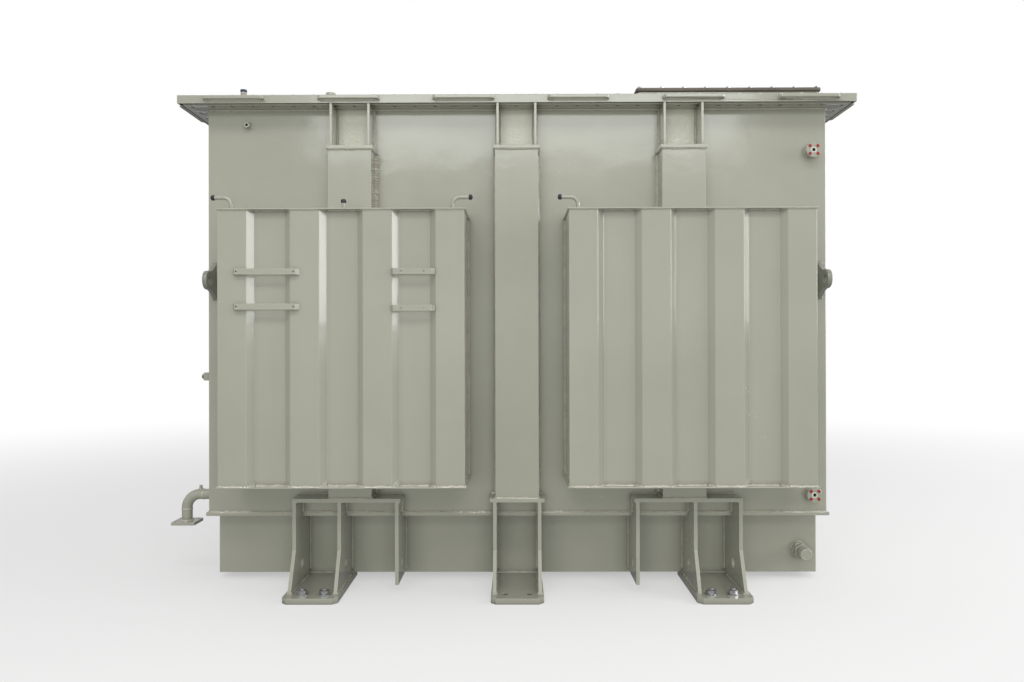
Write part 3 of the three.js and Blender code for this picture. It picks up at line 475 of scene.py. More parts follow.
class Shape:
    """Gathers several closed shapes into one mesh."""

    def __init__(self):
        self.verts, self.faces = [], []

    def rings(self, rings, closed_loop=False):
        """Joins rings of equal length, one after another. The ends are closed, or joined to each other."""
        base, n, count = len(self.verts), len(rings[0]), len(rings)
        faces = []
        for r in range(count if closed_loop else count - 1):
            s = (r + 1) % count
            for i in range(n):
                j = (i + 1) % n
                faces.append([r * n + i, r * n + j, s * n + j, s * n + i])
        if not closed_loop:
            faces.append(list(range(n))[::-1])
            faces.append([(count - 1) * n + i for i in range(n)])
        self.verts += [v for ring in rings for v in ring]
        self.faces += [[i + base for i in face] for face in faces]
        return self

    def lathe(self, profile, base, axis, sides=40):
        """Turns (radius, distance) pairs about an axis. A profile that ends where it starts has a bore."""
        u, v = across(axis)
        rings = [circle_at(base + axis * distance, u, v, max(radius, 1e-6), sides)
                 for radius, distance in profile]
        hollow = profile[0] == profile[-1]
        return self.rings(rings[:-1] if hollow else rings, closed_loop=hollow)

    def cylinder(self, radius, low, high, base, axis, sides):
        return self.lathe([(0, low), (radius, low), (radius, high), (0, high)], base, axis, sides)

    def pipe(self, path, radius, bore, sides):
        frames = carried_frames(path)
        outer, inner = ([circle_at(point, u, v, r, sides) for point, (u, v) in zip(path, frames)]
                        for r in (radius, bore))
        return self.rings(outer + inner[::-1], closed_loop=True)

    def prism(self, outline, base, axis, u, height, chamfer):
        """A plate with the outline in the plane across the axis, its two edges chamfered."""
        v = axis.cross(u)
        cx = sum(p[0] for p in outline) / len(outline)
        cy = sum(p[1] for p in outline) / len(outline)
        cut = 1 - chamfer / max(math.hypot(p[0] - cx, p[1] - cy) for p in outline)
        steps = [(cut, 0), (1, chamfer), (1, height - chamfer), (cut, height)]
        rings = [[base + axis * d + u * (cx + (x - cx) * k) + v * (cy + (y - cy) * k) for x, y in outline]
                 for k, d in steps]
        return self.rings(rings)

    def block(self, low, high, chamfer):
        """A box between two corners, with eased edges."""
        low, high = Vector(low), Vector(high)
        size, middle = high - low, (low + high) / 2
        outline = rounded(size.x, size.y, chamfer * 2, 3)
        return self.prism(outline, Vector((middle.x, middle.y, low.z)), UP, RIGHT, size.z, chamfer)

    def done(self, name, body="tank", slot="tank_paint", material=None, smooth=40):
        return piece(name, self.verts, self.faces, body, slot, material, smooth)

    def welds(self, name, body="tank"):
        return self.done(name, body, "tank_paint", "weld_paint", smooth=70)


HEX_STEPS = 48  # points round a hexagon, which give its cone-cut rims their curve


def hexagon(shape, base, axis, flats, height, turn=0.0, crown=0.93, bore=0.0):
    """A hexagonal head, nut or bored collar. Both rims are cut by cones, down to a round facet."""
    u, v = across(axis)
    inner = flats / 2 * crown
    rings = [[], [], [], []]
    for i in range(HEX_STEPS):
        a = TAU * i / HEX_STEPS
        edge = flats / 2 / math.cos((a - turn) % (TAU / 6) - TAU / 12)
        drop = (edge - inner) * 0.5
        steps = ((inner, 0), (edge, drop), (edge, height - drop), (inner, height))
        for ring, (radius, lift) in zip(rings, steps):
            ring.append(base + axis * lift + spoke(u, v, a) * radius)
    if not bore:
        return shape.rings(rings)
    mouths = [circle_at(base + axis * lift, u, v, bore, HEX_STEPS) for lift in (0, height)]
    return shape.rings([mouths[0], *rings, mouths[1]], closed_loop=True)


def washer(shape, base, axis, outer, bore, thickness, sides=40):
    r = thickness * 0.22
    profile = [(bore, 0), (outer - r, 0), (outer, r), (outer, thickness - r), (outer - r, thickness),
               (bore, thickness), (bore, 0)]
    return shape.lathe(profile, base, axis, sides)


def bolt_head(shape, base, axis, washer_size, flats, height, turn, sides=24):
    """A hexagonal head on a washer, given as (outer radius, bore radius, thickness)."""
    washer(shape, base, axis, *washer_size, sides)
    return hexagon(shape, base + axis * washer_size[2], axis, flats, height, turn)


def thread(shape, base, axis, radius, length, pitch, sides=24):
    """A threaded rod's end: one groove for each turn, and a chamfered tip."""
    turns = max(2, int(length / pitch))
    step = length / turns
    profile = [(0, 0), (radius, 0)]
    for i in range(turns):
        profile += [(radius, step * (i + 0.35)), (radius - pitch * 0.55, step * (i + 0.6)),
                    (radius, step * (i + 0.85))]
    profile += [(radius - pitch * 0.6, length + pitch * 0.5), (0, length + pitch * 0.5)]
    return shape.lathe(profile, base, axis, sides)


def plate(name, outlines, place, thickness, body, slot, edge=0.0012, turn=None, material=None):
    """A flat plate with holes and rounded edges. The first outline is its edge and the others are holes,
    in metres in its own plane. Its lower face is at place, and turn carries that plane's Z to its normal."""
    curve = bpy.data.curves.new(name, "CURVE")
    curve.dimensions, curve.fill_mode = "2D", "BOTH"
    curve.extrude = thickness / 2 - edge
    curve.bevel_depth, curve.bevel_resolution, curve.offset = edge, 1, -edge
    for outline in outlines:
        line = curve.splines.new("POLY")
        line.points.add(len(outline) - 1)
        for point, (x, y) in zip(line.points, outline):
            point.co = (x, y, 0, 1)
        line.use_cyclic_u = True
    holder = new_object(name + "_curve", curve)
    mesh = bpy.data.meshes.new_from_object(holder)
    bpy.data.objects.remove(holder)
    mesh.transform(Matrix.Translation((0, 0, thickness / 2)))
    if turn:
        mesh.transform(turn.to_4x4())
    mesh.transform(Matrix.Translation(place))
    welded = bmesh.new()
    welded.from_mesh(mesh)
    bmesh.ops.remove_doubles(welded, verts=welded.verts, dist=1e-6)
    verts = [v.co.copy() for v in welded.verts]
    faces = [[v.index for v in f.verts] for f in welded.faces]
    welded.free()
    return piece(name, verts, faces, body, slot, material, smooth=50)


# ------------ weld beads


def smooth_noise(rng, count, every):
    """Random values from -1 to 1 that change smoothly, with a new one every few steps."""
    knots = [rng.uniform(-1, 1) for _ in range(count // every + 3)]
    values = []
    for i in range(count):
        k, t = divmod(i / every, 1)
        t = t * t * (3 - 2 * t)
        values.append(knots[int(k)] * (1 - t) + knots[int(k) + 1] * t)
    return values


def bead(shape, start, end, u, v, leg=0.007, seed=1, rough=1.0):
    """A fillet weld from start to end in the corner between two plates that run off along u and v."""
    start, end, u, v = Vector(start), Vector(end), Vector(u).normalized(), Vector(v).normalized()
    count = max(4, int((end - start).length / (leg * 0.275)))
    rng = random.Random(seed)
    swell, lump, lean = (smooth_noise(rng, count + 1, every) for every in (14, 3, 9))
    rings = []
    for i in range(count + 1):
        ripple = 0.10 if i % 2 else -0.06
        size = leg * (1 + (0.16 * swell[i] + 0.12 * lump[i] + ripple) * rough)
        size *= min(1.0, (min(i, count - i) + 0.6) / 3)
        a, b = size * (1 + 0.18 * lean[i] * rough), size * (1 - 0.18 * lean[i] * rough)
        bulge = 0.66 + 0.05 * lump[i] * rough
        middle = start + (end - start) * (i / count)
        ring = [middle - u * 0.0015 - v * 0.0015, middle + u * a - v * 0.0012]
        for angle in (15, 45, 75):
            t = math.radians(angle)
            ring.append(middle + u * a * (math.cos(t) * bulge + 0.12) + v * b * (math.sin(t) * bulge + 0.12))
        ring.append(middle + v * b - u * 0.0012)
        rings.append(ring)
    return shape.rings(rings)


def closed_noise(rng, count, every, blend):
    """Smooth noise round a ring: its last steps run back to the first value."""
    values = smooth_noise(rng, count + 20, every)
    fades = [min(1.0, (count - i) / blend) for i in range(count)]
    return [value * fade + values[0] * (1 - fade) for value, fade in zip(values, fades)]


def ring_of_weld(shape, centre, axis, radius, leg, seed=1):
    """A round fillet weld where a pipe or boss meets a plate."""
    u, v = across(axis)
    count = max(24, int(TAU * radius / (leg * 0.4)))
    rings = []
    for i, swell in enumerate(closed_noise(random.Random(seed), count, 7, 12)):
        way = spoke(u, v, TAU * i / count)
        size = leg * (1 + 0.16 * swell + (0.08 if i % 2 else -0.05))
        ring = [centre + way * (radius - 0.001) - axis * 0.001]
        ring.append(centre + way * (radius + size) - axis * 0.0008)
        for angle in (20, 45, 70):
            t, bulge = math.radians(angle), size * 0.78
            ring.append(centre + way * (radius + bulge * math.cos(t)) + axis * (bulge * math.sin(t)))
        ring.append(centre + way * (radius - 0.0008) + axis * size)
        rings.append(ring)
    return shape.rings(rings, closed_loop=True)


def butt_weld(shape, centre, axis, radius, seed):
    """A raised ripple of weld round a pipe where two lengths meet."""
    u, v = across(axis)
    count, sunk = 60, -0.0008
    rings = []
    for i, lump in enumerate(closed_noise(random.Random(seed), count, 5, 10)):
        way = spoke(u, v, TAU * i / count)
        wide = 0.0042 * (1 + 0.15 * lump)
        high = 0.0017 * (1 + 0.25 * lump + (0.12 if i % 2 else -0.08))
        section = ((-1, sunk), (-0.6, high * 0.7), (0, high), (0.6, high * 0.7), (1, sunk))
        rings.append([centre + way * (radius + rise) + axis * (wide * share) for share, rise in section])
    return shape.rings(rings, closed_loop=True)


# ------------ CAD nodes that show

EASED, COVER_EASED = 0.0025, 0.0038  # the bevels' widths
FINISHES = {"lashing_lug": "lug_paint", "gasket": "gasket_rubber", "core_clamp": "clamp_paint"}


def finish_of(node):
    """The material that a node's name calls for. Most of them are painted with the tank."""
    return next((finish for word, finish in FINISHES.items() if word in node), "tank_paint")


def soften(node, width, dissolve):
    """Welds a CAD node's triangles, dissolves its flat faces and rounds its edges, all by modifiers."""
    shown = NODES[node]
    shown.modifiers.new("weld", "WELD").merge_threshold = 0.00002
    if dissolve:
        flat = shown.modifiers.new("flat", "DECIMATE")
        flat.decimate_type, flat.delimit = "DISSOLVE", {"NORMAL"}
        flat.angle_limit = math.radians(0.6)
    bevel = shown.modifiers.new("bevel", "BEVEL")
    bevel.width, bevel.segments = width, 2
    bevel.limit_method, bevel.angle_limit = "ANGLE", math.radians(28)
    bevel.miter_outer = "MITER_ARC"
    shown.data.materials.clear()
    shown.data.materials.append(materials[finish_of(node)])


for node in NODES:
    if node == "cover_plate":  # dissolving this node's faces leaves dark streaks
        soften(node, COVER_EASED, dissolve=False)
    else:
        soften(node, EASED, dissolve=True)

# ------------ welds on the tank, in millimetres

WALL, BOX_WALL, STIFF_FRONT = -580, -450, -695  # front faces: upper wall, lower box, stiffeners
RADIATOR = {"inner": 217, "outer": 1246, "front": 864, "fold": 28, "valley": 128, "low": 496, "high": 1650}
STIFFENERS = (-730, 0, 730)
GUSSETS = {-1: (-972.5, -776, -525), 0: (-97.5, 97.5), 1: (972.5, 776, 525)}
SHORT_GUSSET = 525  # this gusset stops above the base plate
SHELVES = {-1: (-980, -510), 0: (-119, 119), 1: (510, 980)}
BASES = {-1: (-992, -756), 0: (-112, 112), 1: (756, 992)}
LUG_X, LUG_HALF = 1360, 10


class Seams(list):
    """Welds on the front wall: start, end, the two plates' directions, and leg."""

    def level(self, low, high, y, z, u, v, leg):
        self.append(((low, y, z), (high, y, z), u, v, leg))

    def upright(self, x, y, low, high, u, v, leg):
        self.append(((x, y, low), (x, y, high), u, v, leg))

    def inward(self, x, near, far, z, u, v, leg):
        self.append(((x, near, z), (x, far, z), u, v, leg))


def folded_line(sign):
    """The folded sheet's corners from its inner side at the wall to its outer side, as (x, y)."""
    inner, outer, front, fold = (RADIATOR[key] for key in ("inner", "outer", "front", "fold"))
    dip = RADIATOR["valley"] + 2 * fold
    period = (outer - inner + dip) / 4
    line = [(inner, WALL), (inner, -front)]
    for ridge in (1, 2, 3):
        start = inner + ridge * period
        end = start - dip
        line += [(end, -front), (end + fold, fold - front), (start - fold, fold - front), (start, -front)]
    line += [(outer, -front), (outer, WALL)]
    return [(sign * x, y) for x, y in line]


def radiator_seams(seams, sign):
    """Round the folded sheet's ends, up its two sides, and along the top and bottom plates' backs."""
    inner, outer, low, high = (RADIATOR[key] for key in ("inner", "outer", "low", "high"))
    line = folded_line(sign)
    for (ax, ay), (bx, by) in zip(line, line[1:]):
        away = (sign * (by - ay), -sign * (bx - ax), 0)
        seams.append(((ax, ay, low), (bx, by, low), UP, away, 7))
        seams.append(((ax, ay, high), (bx, by, high), DOWN, away, 4))
    for x, side in ((inner, -sign), (outer, sign)):
        seams.upright(sign * x, WALL, low + 2, high - 2, RIGHT * side, FRONT, 7)
    for z, way in ((high + 6, UP), (low - 6, DOWN)):
        for near, far in ((inner - 4, 632), (828, outer + 4)):
            seams.level(sign * near, sign * far, WALL, z, way, FRONT, 6)


def stiffener_seams(seams, x):
    """Up a stiffener's sides, round its two end plates, and round the head recess above it."""
    spans = ((418, 1940),) if x == 0 else ((418, 488), (1658, 1940))
    for side in (-1, 1):
        edge, aside = x + side * 95, RIGHT * side
        heavy = x == STIFFENERS[0] and side == 1
        for low, high in spans:
            seams.upright(edge, WALL, low, high, aside, FRONT, 17 if heavy else 10)
        seams.inward(edge, WALL - 2, STIFF_FRONT, 1942, DOWN, aside, 6)
        seams.inward(edge, WALL - 2, STIFF_FRONT, 416, UP, aside, 7)
        for face in (-1, 1):
            cheek, away = x + side * 82.5 + face * 6, RIGHT * face
            seams.upright(cheek, WALL, 1960, 2143, away, FRONT, 7)
            seams.inward(cheek, WALL - 2, -688, 1958, UP, away, 6)
    seams.level(x - 95, x + 95, STIFF_FRONT, 1942, DOWN, FRONT, 6)
    seams.level(x - 95, x + 95, STIFF_FRONT, 416, UP, FRONT, 6)
    seams.level(x - 76, x + 76, WALL, 1958, UP, FRONT, 8)


def foot_seams(seams, place):
    """Along a foot's shelf and base plate, and down both faces of its gussets."""
    low, high = SHELVES[place]
    seams.level(low, high, WALL, 416, UP, FRONT, 7)
    seams.level(low, high, WALL, 400, DOWN, FRONT, 7)
    low, high = BASES[place]
    seams.level(low + 4, high - 4, BOX_WALL, 25, UP, FRONT, 6)
    for x in GUSSETS[place]:
        for face in (-1, 1):
            side, aside = x + face * 7.5, RIGHT * face
            seams.upright(side, WALL, 334, 399, aside, FRONT, 7)
            seams.upright(side, BOX_WALL, 42, 316, aside, FRONT, 5)
            seams.inward(side, -592, -698, 400, DOWN, aside, 7)
            if abs(x) != SHORT_GUSSET:
                seams.inward(side, -484, -780, 25, UP, aside, 6)


def wall_seams():
    """Every weld on the front wall, in millimetres."""
    seams = Seams()
    seams.level(-1388, 1388, WALL, 332, UP, FRONT, 8)
    seams.level(-1388, 1388, BOX_WALL, 318, DOWN, FRONT, 7)
    seams.level(-1388, 1388, WALL, 2145, DOWN, FRONT, 5)
    for sign in (-1, 1):
        radiator_seams(seams, sign)
    for x in STIFFENERS:
        stiffener_seams(seams, x)
    for place in (-1, 0, 1):
        foot_seams(seams, place)
    for sign in (-1, 1):
        for face in (-1, 1):
            seams.upright(sign * LUG_X + face * LUG_HALF, WALL, 1289, 1457, RIGHT * face, FRONT, 7)
    return seams


def weld_wall(name, way):
    """The welds of one long wall. A way of -1 turns them round to the rear wall."""
    shape = Shape()
    for i, (*places, leg) in enumerate(wall_seams()):
        start, end, u, v = ((way * x, way * y, z) for x, y, z in places)
        rough = 1.9 if leg > 12 else 1.0
        bead(shape, at(*start), at(*end), u, v, leg / 1000, seed=i * 7 + way, rough=rough)
    return shape.welds(name)


def weld_ends():
    """Three level welds on each end wall: above and below the ledge, and under the flange."""
    shape = Shape()
    for i, side in enumerate((-1, 1)):
        for y, z, way, leg, seed in ((578, 332, UP, 0.008, 900), (448, 318, DOWN, 0.007, 910),
                                     (578, 2145, DOWN, 0.008, 920)):
            bead(shape, at(side * 1390, -y, z), at(side * 1390, y, z), way, RIGHT * side, leg, seed + i)
    return shape.welds("welds_on_ends")


weld_wall("welds_on_front", 1)
weld_wall("welds_on_rear", -1)
weld_ends()

# ------------ flange and cover bolts, foot bolts

HOLES = sorted({(x, y) for x in range(-1440, 1441, 90) for y in (-630, 630)}
               | {(x, y) for y in range(-630, 631, 90) for x in (-1440, 1440)})
TOP = 2184.6  # the cover's top face

drilled = [circle(x / 1000, y / 1000, 0.009) for x, y in HOLES]
flange = plate("tank_flange_drilled", [rounded(2.946, 1.326, 0.006), rounded(2.740, 1.120), *drilled],
               at(0, 0, 2145), 0.015, "tank", "tank_paint")
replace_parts(flange, "tank_flange")


def cover_bolts():
    """A bolt head on a washer over each hole, and the bolt's end below, recessed in the flange."""
    heads, ends, rng = Shape(), Shape(), random.Random(5)
    end = [(0, 0), (0.0062, 0), (0.0078, 0.0016), (0.0078, 0.008), (0, 0.008)]
    for x, y in HOLES:
        bolt_head(heads, at(x, y, TOP), UP, (0.015, 0.0085, 0.0028), 0.024, 0.010, rng.uniform(0, 1))
        ends.lathe(end, at(x, y, 2155), UP, 16)
    heads.done("cover_bolt_heads", "cover", material="zinc")
    ends.done("cover_bolt_ends", "cover", material="black_steel")


def foot_bolts():
    """An M24 anchor bolt in each hole of the four outer feet: washer, nut and the bolt's end."""
    shape, rng = Shape(), random.Random(9)
    for wall in (-1, 1):
        for x in (-916, -822, 822, 916):
            y = wall * 778
            bolt_head(shape, at(x, y, 25), UP, (0.025, 0.0125, 0.004), 0.038, 0.0165, rng.uniform(0, 1), 40)
            thread(shape, at(x, y, 44), UP, 0.0118, 0.005, 0.003)
            shape.cylinder(0.0116, 0, 0.028, at(x, y, 1), UP, 24)
    shape.done("foot_bolts", material="zinc")


cover_bolts()
foot_bolts()

# ------------ fittings on the tank


def sample_flange(level, z):
    """A turned flange with a stepped face round its bore and four capped threads."""
    face = at(1320, -630, z)
    body = Shape().lathe([(0.007, -0.0495), (0.0245, -0.0495), (0.0225, -0.046), (0.021, -0.04),
                          (0.021, -0.0165), (0.0225, -0.0142), (0.0318, -0.0142), (0.033, -0.013),
                          (0.033, -0.0012), (0.0318, 0), (0.0148, 0), (0.0142, -0.0008), (0.0138, -0.0022),
                          (0.0075, -0.0022), (0.007, -0.0028), (0.007, -0.0495)], face, FRONT, 72)
    made = body.done(f"{level}_sample_flange_turned")
    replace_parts(made, f"{level}_sample_flange")
    seat = washer(Shape(), face - FRONT * 0.0022, FRONT, 0.0133, 0.0078, 0.0016, 48)
    seat.done(f"{level}_sample_seat", material="seat_ring")
    # Painted shade: a near-black plug a little way into the bore, where the hole is dark.
    core = Shape().cylinder(0.0069, -0.030, -0.012, face, FRONT, 32)
    core.done(f"{level}_sample_bore_shade", material="black_steel")
    caps = Shape()
    for i in range(4):
        place = face + spoke(RIGHT, UP, TAU * (i + 0.5) / 4) * 0.0245
        caps.lathe([(0, -0.003), (0.0045, -0.003), (0.0045, 0), (0.0062, 0), (0.0066, 0.0006),
                    (0.0066, 0.0016), (0.0058, 0.0025), (0.003, 0.0031), (0, 0.0032)], place, FRONT, 28)
    caps.done(f"{level}_sample_thread_caps", material="red_cap")
    ring_of_weld(Shape(), at(1320, -580, z), FRONT, 0.021, 0.006, seed=z).welds(f"{level}_sample_weld")


def gauge_socket():
    """A small bored socket on the wall, with its weld, and a near-black disc in its bore as painted shade."""
    face = at(-1210, -605.3, 2074)
    shape = Shape().lathe([(0.0055, -0.0248), (0.0125, -0.0248), (0.0125, -0.0012), (0.0113, 0),
                           (0.0072, 0), (0.0055, -0.0018), (0.0055, -0.0248)], face, FRONT, 48)
    ring_of_weld(shape, at(-1210, -580, 2074), FRONT, 0.0125, 0.005, seed=31)
    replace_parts(shape.done("gauge_socket_turned", "tank", "tank_paint"), "gauge_socket")
    # Painted shade: a near-black disc a little way down the bore, where the hole is dark.
    shade_fill = Shape().lathe([(0, -0.012), (0.0054, -0.012), (0.0054, -0.0085), (0.0035, -0.0075),
                           (0, -0.0075)], face, FRONT, 24)
    shade_fill.done("gauge_socket_bore_shade", material="black_steel")


def earthing_boss():
    """A block on the left end wall, with a brass bolt and a weld all round."""
    low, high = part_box("earthing_boss")
    made = Shape().block(low, high, 0.003).done("earthing_boss_block")
    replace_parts(made, "earthing_boss")
    bolt, face = Shape(), Vector((low.x, (low.y + high.y) / 2, (low.z + high.z) / 2))
    washer(bolt, face + RIGHT * 0.0002, LEFT, 0.0125, 0.0065, 0.0025)
    hexagon(bolt, face + LEFT * 0.0022, LEFT, 0.019, 0.008)
    bolt.done("earthing_bolt", material="brass")
    bed = Shape()
    for z, way in ((low.z, DOWN), (high.z, UP)):
        bead(bed, (high.x, low.y, z), (high.x, high.y, z), way, LEFT, 0.006, seed=41)
    for y, way in ((low.y, FRONT), (high.y, BACK)):
        bead(bed, (high.x, y, low.z), (high.x, y, high.z), way, LEFT, 0.006, seed=43)
    bed.welds("earthing_boss_weld")


def lashing_lug(name, x, wall):
    """A wide root, hollow flanks and a round eye, cut from plate."""
    top, reach, tip, eye, half = 0.086, 0.089, 0.041, 0.020, 0.010
    flank = []
    for i in range(13):
        t = i / 12
        flank.append((2 * t * (1 - t) * (reach / 2) + t * t * reach,
                      (1 - t) ** 2 * top + 2 * t * (1 - t) * tip + t * t * tip))
    nose = [(reach + tip * math.sin(TAU * i / 48), tip * math.cos(TAU * i / 48)) for i in range(1, 24)]
    outline = flank + nose + [(y, -z) for y, z in reversed(flank)]
    clear = [(y + 0.0003, z) for y, z in outline]
    turn = Matrix(((0, 0, 1), (wall, 0, 0), (0, wall, 0)))
    place = at(x, wall * -WALL, 1373) + turn @ Vector((0, 0, -half))
    made = plate(f"{name}_cut", [clear, circle(reach, 0, eye, 40)], place, 2 * half, "tank", "lug_paint",
                 edge=0.0018, turn=turn)
    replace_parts(made, name)


for level, z in (("upper", 1949), ("lower", 416)):
    sample_flange(level, z)
gauge_socket()
earthing_boss()
for wall, front in ((-1, "front"), (1, "rear")):
    for side, place in ((-1, "left"), (1, "right")):
        lashing_lug(f"{front}_{place}_lashing_lug", side * LUG_X, wall)

# ------------ vent pipes

VENT_Y, VENT_TOP, VENT_LEVEL = -845, 1656.3, 1703
PIPE, PIPE_BORE = 0.0086, 0.006  # the radii of a 3/8 inch pipe


def vent_plug(name, end, way):
    """A moulded cap: a ribbed collar, a shorter dome, and a spigot in the pipe's bore."""
    shape = Shape().lathe([(0, -0.0118), (0.0048, -0.0118), (0.0053, -0.011), (0.0053, 0.0006),
                           (0.0098, 0.0006), (0.0104, 0.0012), (0.0104, 0.0125), (0.0098, 0.0135),
                           (0.0078, 0.0141), (0.0074, 0.0158), (0.004, 0.0164), (0, 0.0165)], end, way, 40)
    u, v = across(way)
    rib = ((0, -0.0011), (0.0014, -0.0006), (0.0014, 0.0006), (0, 0.0011))
    for i in range(12):
        out = spoke(u, v, TAU * i / 12)
        aside = way.cross(out)
        shape.rings([[end + way * d + out * (0.0098 + lift) + aside * s for lift, s in rib]
                     for d in (0.0018, 0.0118)])
    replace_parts(shape.done(f"{name}_vent_plug_ribbed", f"{name}_plug", "plug_plastic"), f"{name}_vent_plug")


def vent_pipe(name, x, heading):
    """A 3/8 inch pipe that rises from the radiator's top plate and turns level, with a cap on its end."""
    end = at(x + heading * 68, VENT_Y, VENT_LEVEL)
    path = bend(at(x, VENT_Y, VENT_TOP), at(x, VENT_Y, VENT_LEVEL), end, 0.032)
    shape = Shape().pipe(path, PIPE, PIPE_BORE, 28)
    ring_of_weld(shape, at(x, VENT_Y, 1656), UP, PIPE, 0.004, seed=abs(x))
    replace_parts(shape.done(f"{name}_vent_pipe_bent", "tank", "tank_paint"), f"{name}_vent_pipe")
    vent_plug(name, end, RIGHT * heading)


def vent_nipple(x):
    """The short upright pipe of the left radiator's middle vent, with a cap on its end."""
    nipple = Shape().lathe([(PIPE_BORE, 0), (PIPE, 0), (PIPE, 0.0227), (0.0076, 0.0237), (PIPE_BORE, 0.0237),
                            (PIPE_BORE, 0)], at(x, VENT_Y, VENT_TOP), UP, 32)
    ring_of_weld(nipple, at(x, VENT_Y, 1656), UP, PIPE, 0.004, seed=12)
    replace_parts(nipple.done("left_middle_vent_nipple", "tank", "tank_paint"), "left_middle_vent_pipe")
    vent_plug("left_middle", at(x, VENT_Y, 1680), UP)


vent_pipe("left_outer", -1194, -1)
vent_pipe("left_inner", -268, 1)
vent_pipe("right_inner", 256, -1)
vent_nipple(-723)

# ------------ drain valve and drain pipe

VALVE = at(1308, -450.3, 132)  # where the valve's axis meets the lower box
VALVE_BORE = 0.012
DRAIN_X, DRAIN_Y, DRAIN_Z = -1555, -415, 385  # the elbow's corner
DRAIN, DRAIN_BORE = 0.024, 0.020  # its pipe's radii


def drain_valve():
    """Wall flange, two hexagons with a groove between them, and the threaded end that takes the cap."""
    bore, shape = VALVE_BORE, Shape()
    shape.lathe([(bore, 0), (0.032, 0), (0.032, 0.0075), (0.0305, 0.009), (bore, 0.009), (bore, 0)],
                VALVE, FRONT, 56)
    hexagon(shape, VALVE + FRONT * 0.0085, FRONT, 0.0675, 0.021, 0.3, 0.94, bore)
    shape.lathe([(bore, 0.029), (0.0285, 0.029), (0.0275, 0.031), (0.0275, 0.039), (0.0285, 0.041),
                 (bore, 0.041), (bore, 0.029)], VALVE, FRONT, 56)
    hexagon(shape, VALVE + FRONT * 0.0405, FRONT, 0.064, 0.0172, 0.75, 0.94, bore)
    threads = [(bore, 0.057)]
    groove = ((0.0199, 0), (0.0199, 0.0005), (0.0187, 0.00125), (0.0199, 0.002))
    for i in range(16):
        start = 0.0575 + i * 0.0025
        threads += [(radius, start + along) for radius, along in groove]
    shape.lathe(threads + [(0.0186, 0.098), (bore, 0.098), (bore, 0.057)], VALVE, FRONT, 48)
    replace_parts(shape.done("drain_valve_turned", "tank", "tank_paint"), "drain_valve_body")
    ring_of_weld(Shape(), at(1308, -450, 132), FRONT, 0.032, 0.007, seed=77).welds("drain_valve_weld")


def drain_cap():
    """A plain round cap, hollow over the thread, with a shallow recess in its face."""
    profile = [(0.021, 0.066), (0.0268, 0.066), (0.028, 0.0672), (0.028, 0.1036), (0.0274, 0.1058),
               (0.0255, 0.1074), (0.0228, 0.108), (0.0222, 0.1074), (0.0215, 0.1068), (0, 0.1068),
               (0, 0.0995), (0.021, 0.0995), (0.021, 0.066)]
    shape = Shape().lathe(profile, VALVE, FRONT, 72)
    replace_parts(shape.done("drain_cap_turned", "drain_cap", "tank_paint"), "drain_cap")


def drain_pipe():
    """A welded elbow of 48 mm pipe down to a square flange, with a bleed nipple on its crown."""
    corner = at(DRAIN_X, DRAIN_Y, DRAIN_Z)
    path = bend(at(-1390.3, DRAIN_Y, DRAIN_Z), corner, at(DRAIN_X, DRAIN_Y, 255), 0.0625, 18)
    shape = Shape().pipe(path, DRAIN, DRAIN_BORE, 44)
    crown = at(-1490, DRAIN_Y, DRAIN_Z + 22)
    shape.lathe([(0, 0), (0.0085, 0), (0.0085, 0.009), (0.0062, 0.0105), (0.0062, 0.014), (0.0075, 0.0148),
                 (0.0075, 0.0188), (0.006, 0.020), (0, 0.020)], crown, UP, 32)
    made = shape.done("drain_pipe_bent")
    bolts = [circle(i * 0.040, j * 0.040, 0.007, 24) for i in (-1, 1) for j in (-1, 1)]
    foot = plate("drain_pipe_square_flange", [rounded(0.110, 0.110, 0.004), circle(0, 0, 0.0202, 40), *bolts],
                 at(DRAIN_X, DRAIN_Y, 248), 0.014, "tank", "tank_paint", edge=0.001)
    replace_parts(made, "drain_pipe")
    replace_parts(foot, "drain_pipe")
    rings = Shape()
    ring_of_weld(rings, at(-1390, DRAIN_Y, DRAIN_Z), LEFT, DRAIN, 0.007, seed=51)
    ring_of_weld(rings, at(DRAIN_X, DRAIN_Y, 262), UP, DRAIN, 0.006, seed=52)
    ring_of_weld(rings, crown + UP * 0.0012, UP, 0.0085, 0.004, seed=53)
    butt_weld(rings, at(-1476, DRAIN_Y, DRAIN_Z), RIGHT, DRAIN, 54)
    butt_weld(rings, at(DRAIN_X, DRAIN_Y, 316), UP, DRAIN, 55)
    rings.welds("drain_pipe_welds")


drain_valve()
drain_cap()
drain_pipe()

# ------------ cover fittings

HV_X, BUSHING_Y = (-1000, -680, -360), 370
SHEDS, FLANGE_BOLTS = 6, 6
LV_X, BAR_X = 510, (210, 410, 610, 810)
SEAT = TOP + 0.3  # where the bushings stand, just clear of the cover
BOSSES = ((-1213, -631, 0.013), (-828, -619, 0.022), (-1260, 370, 0.034))  # x, y, radius


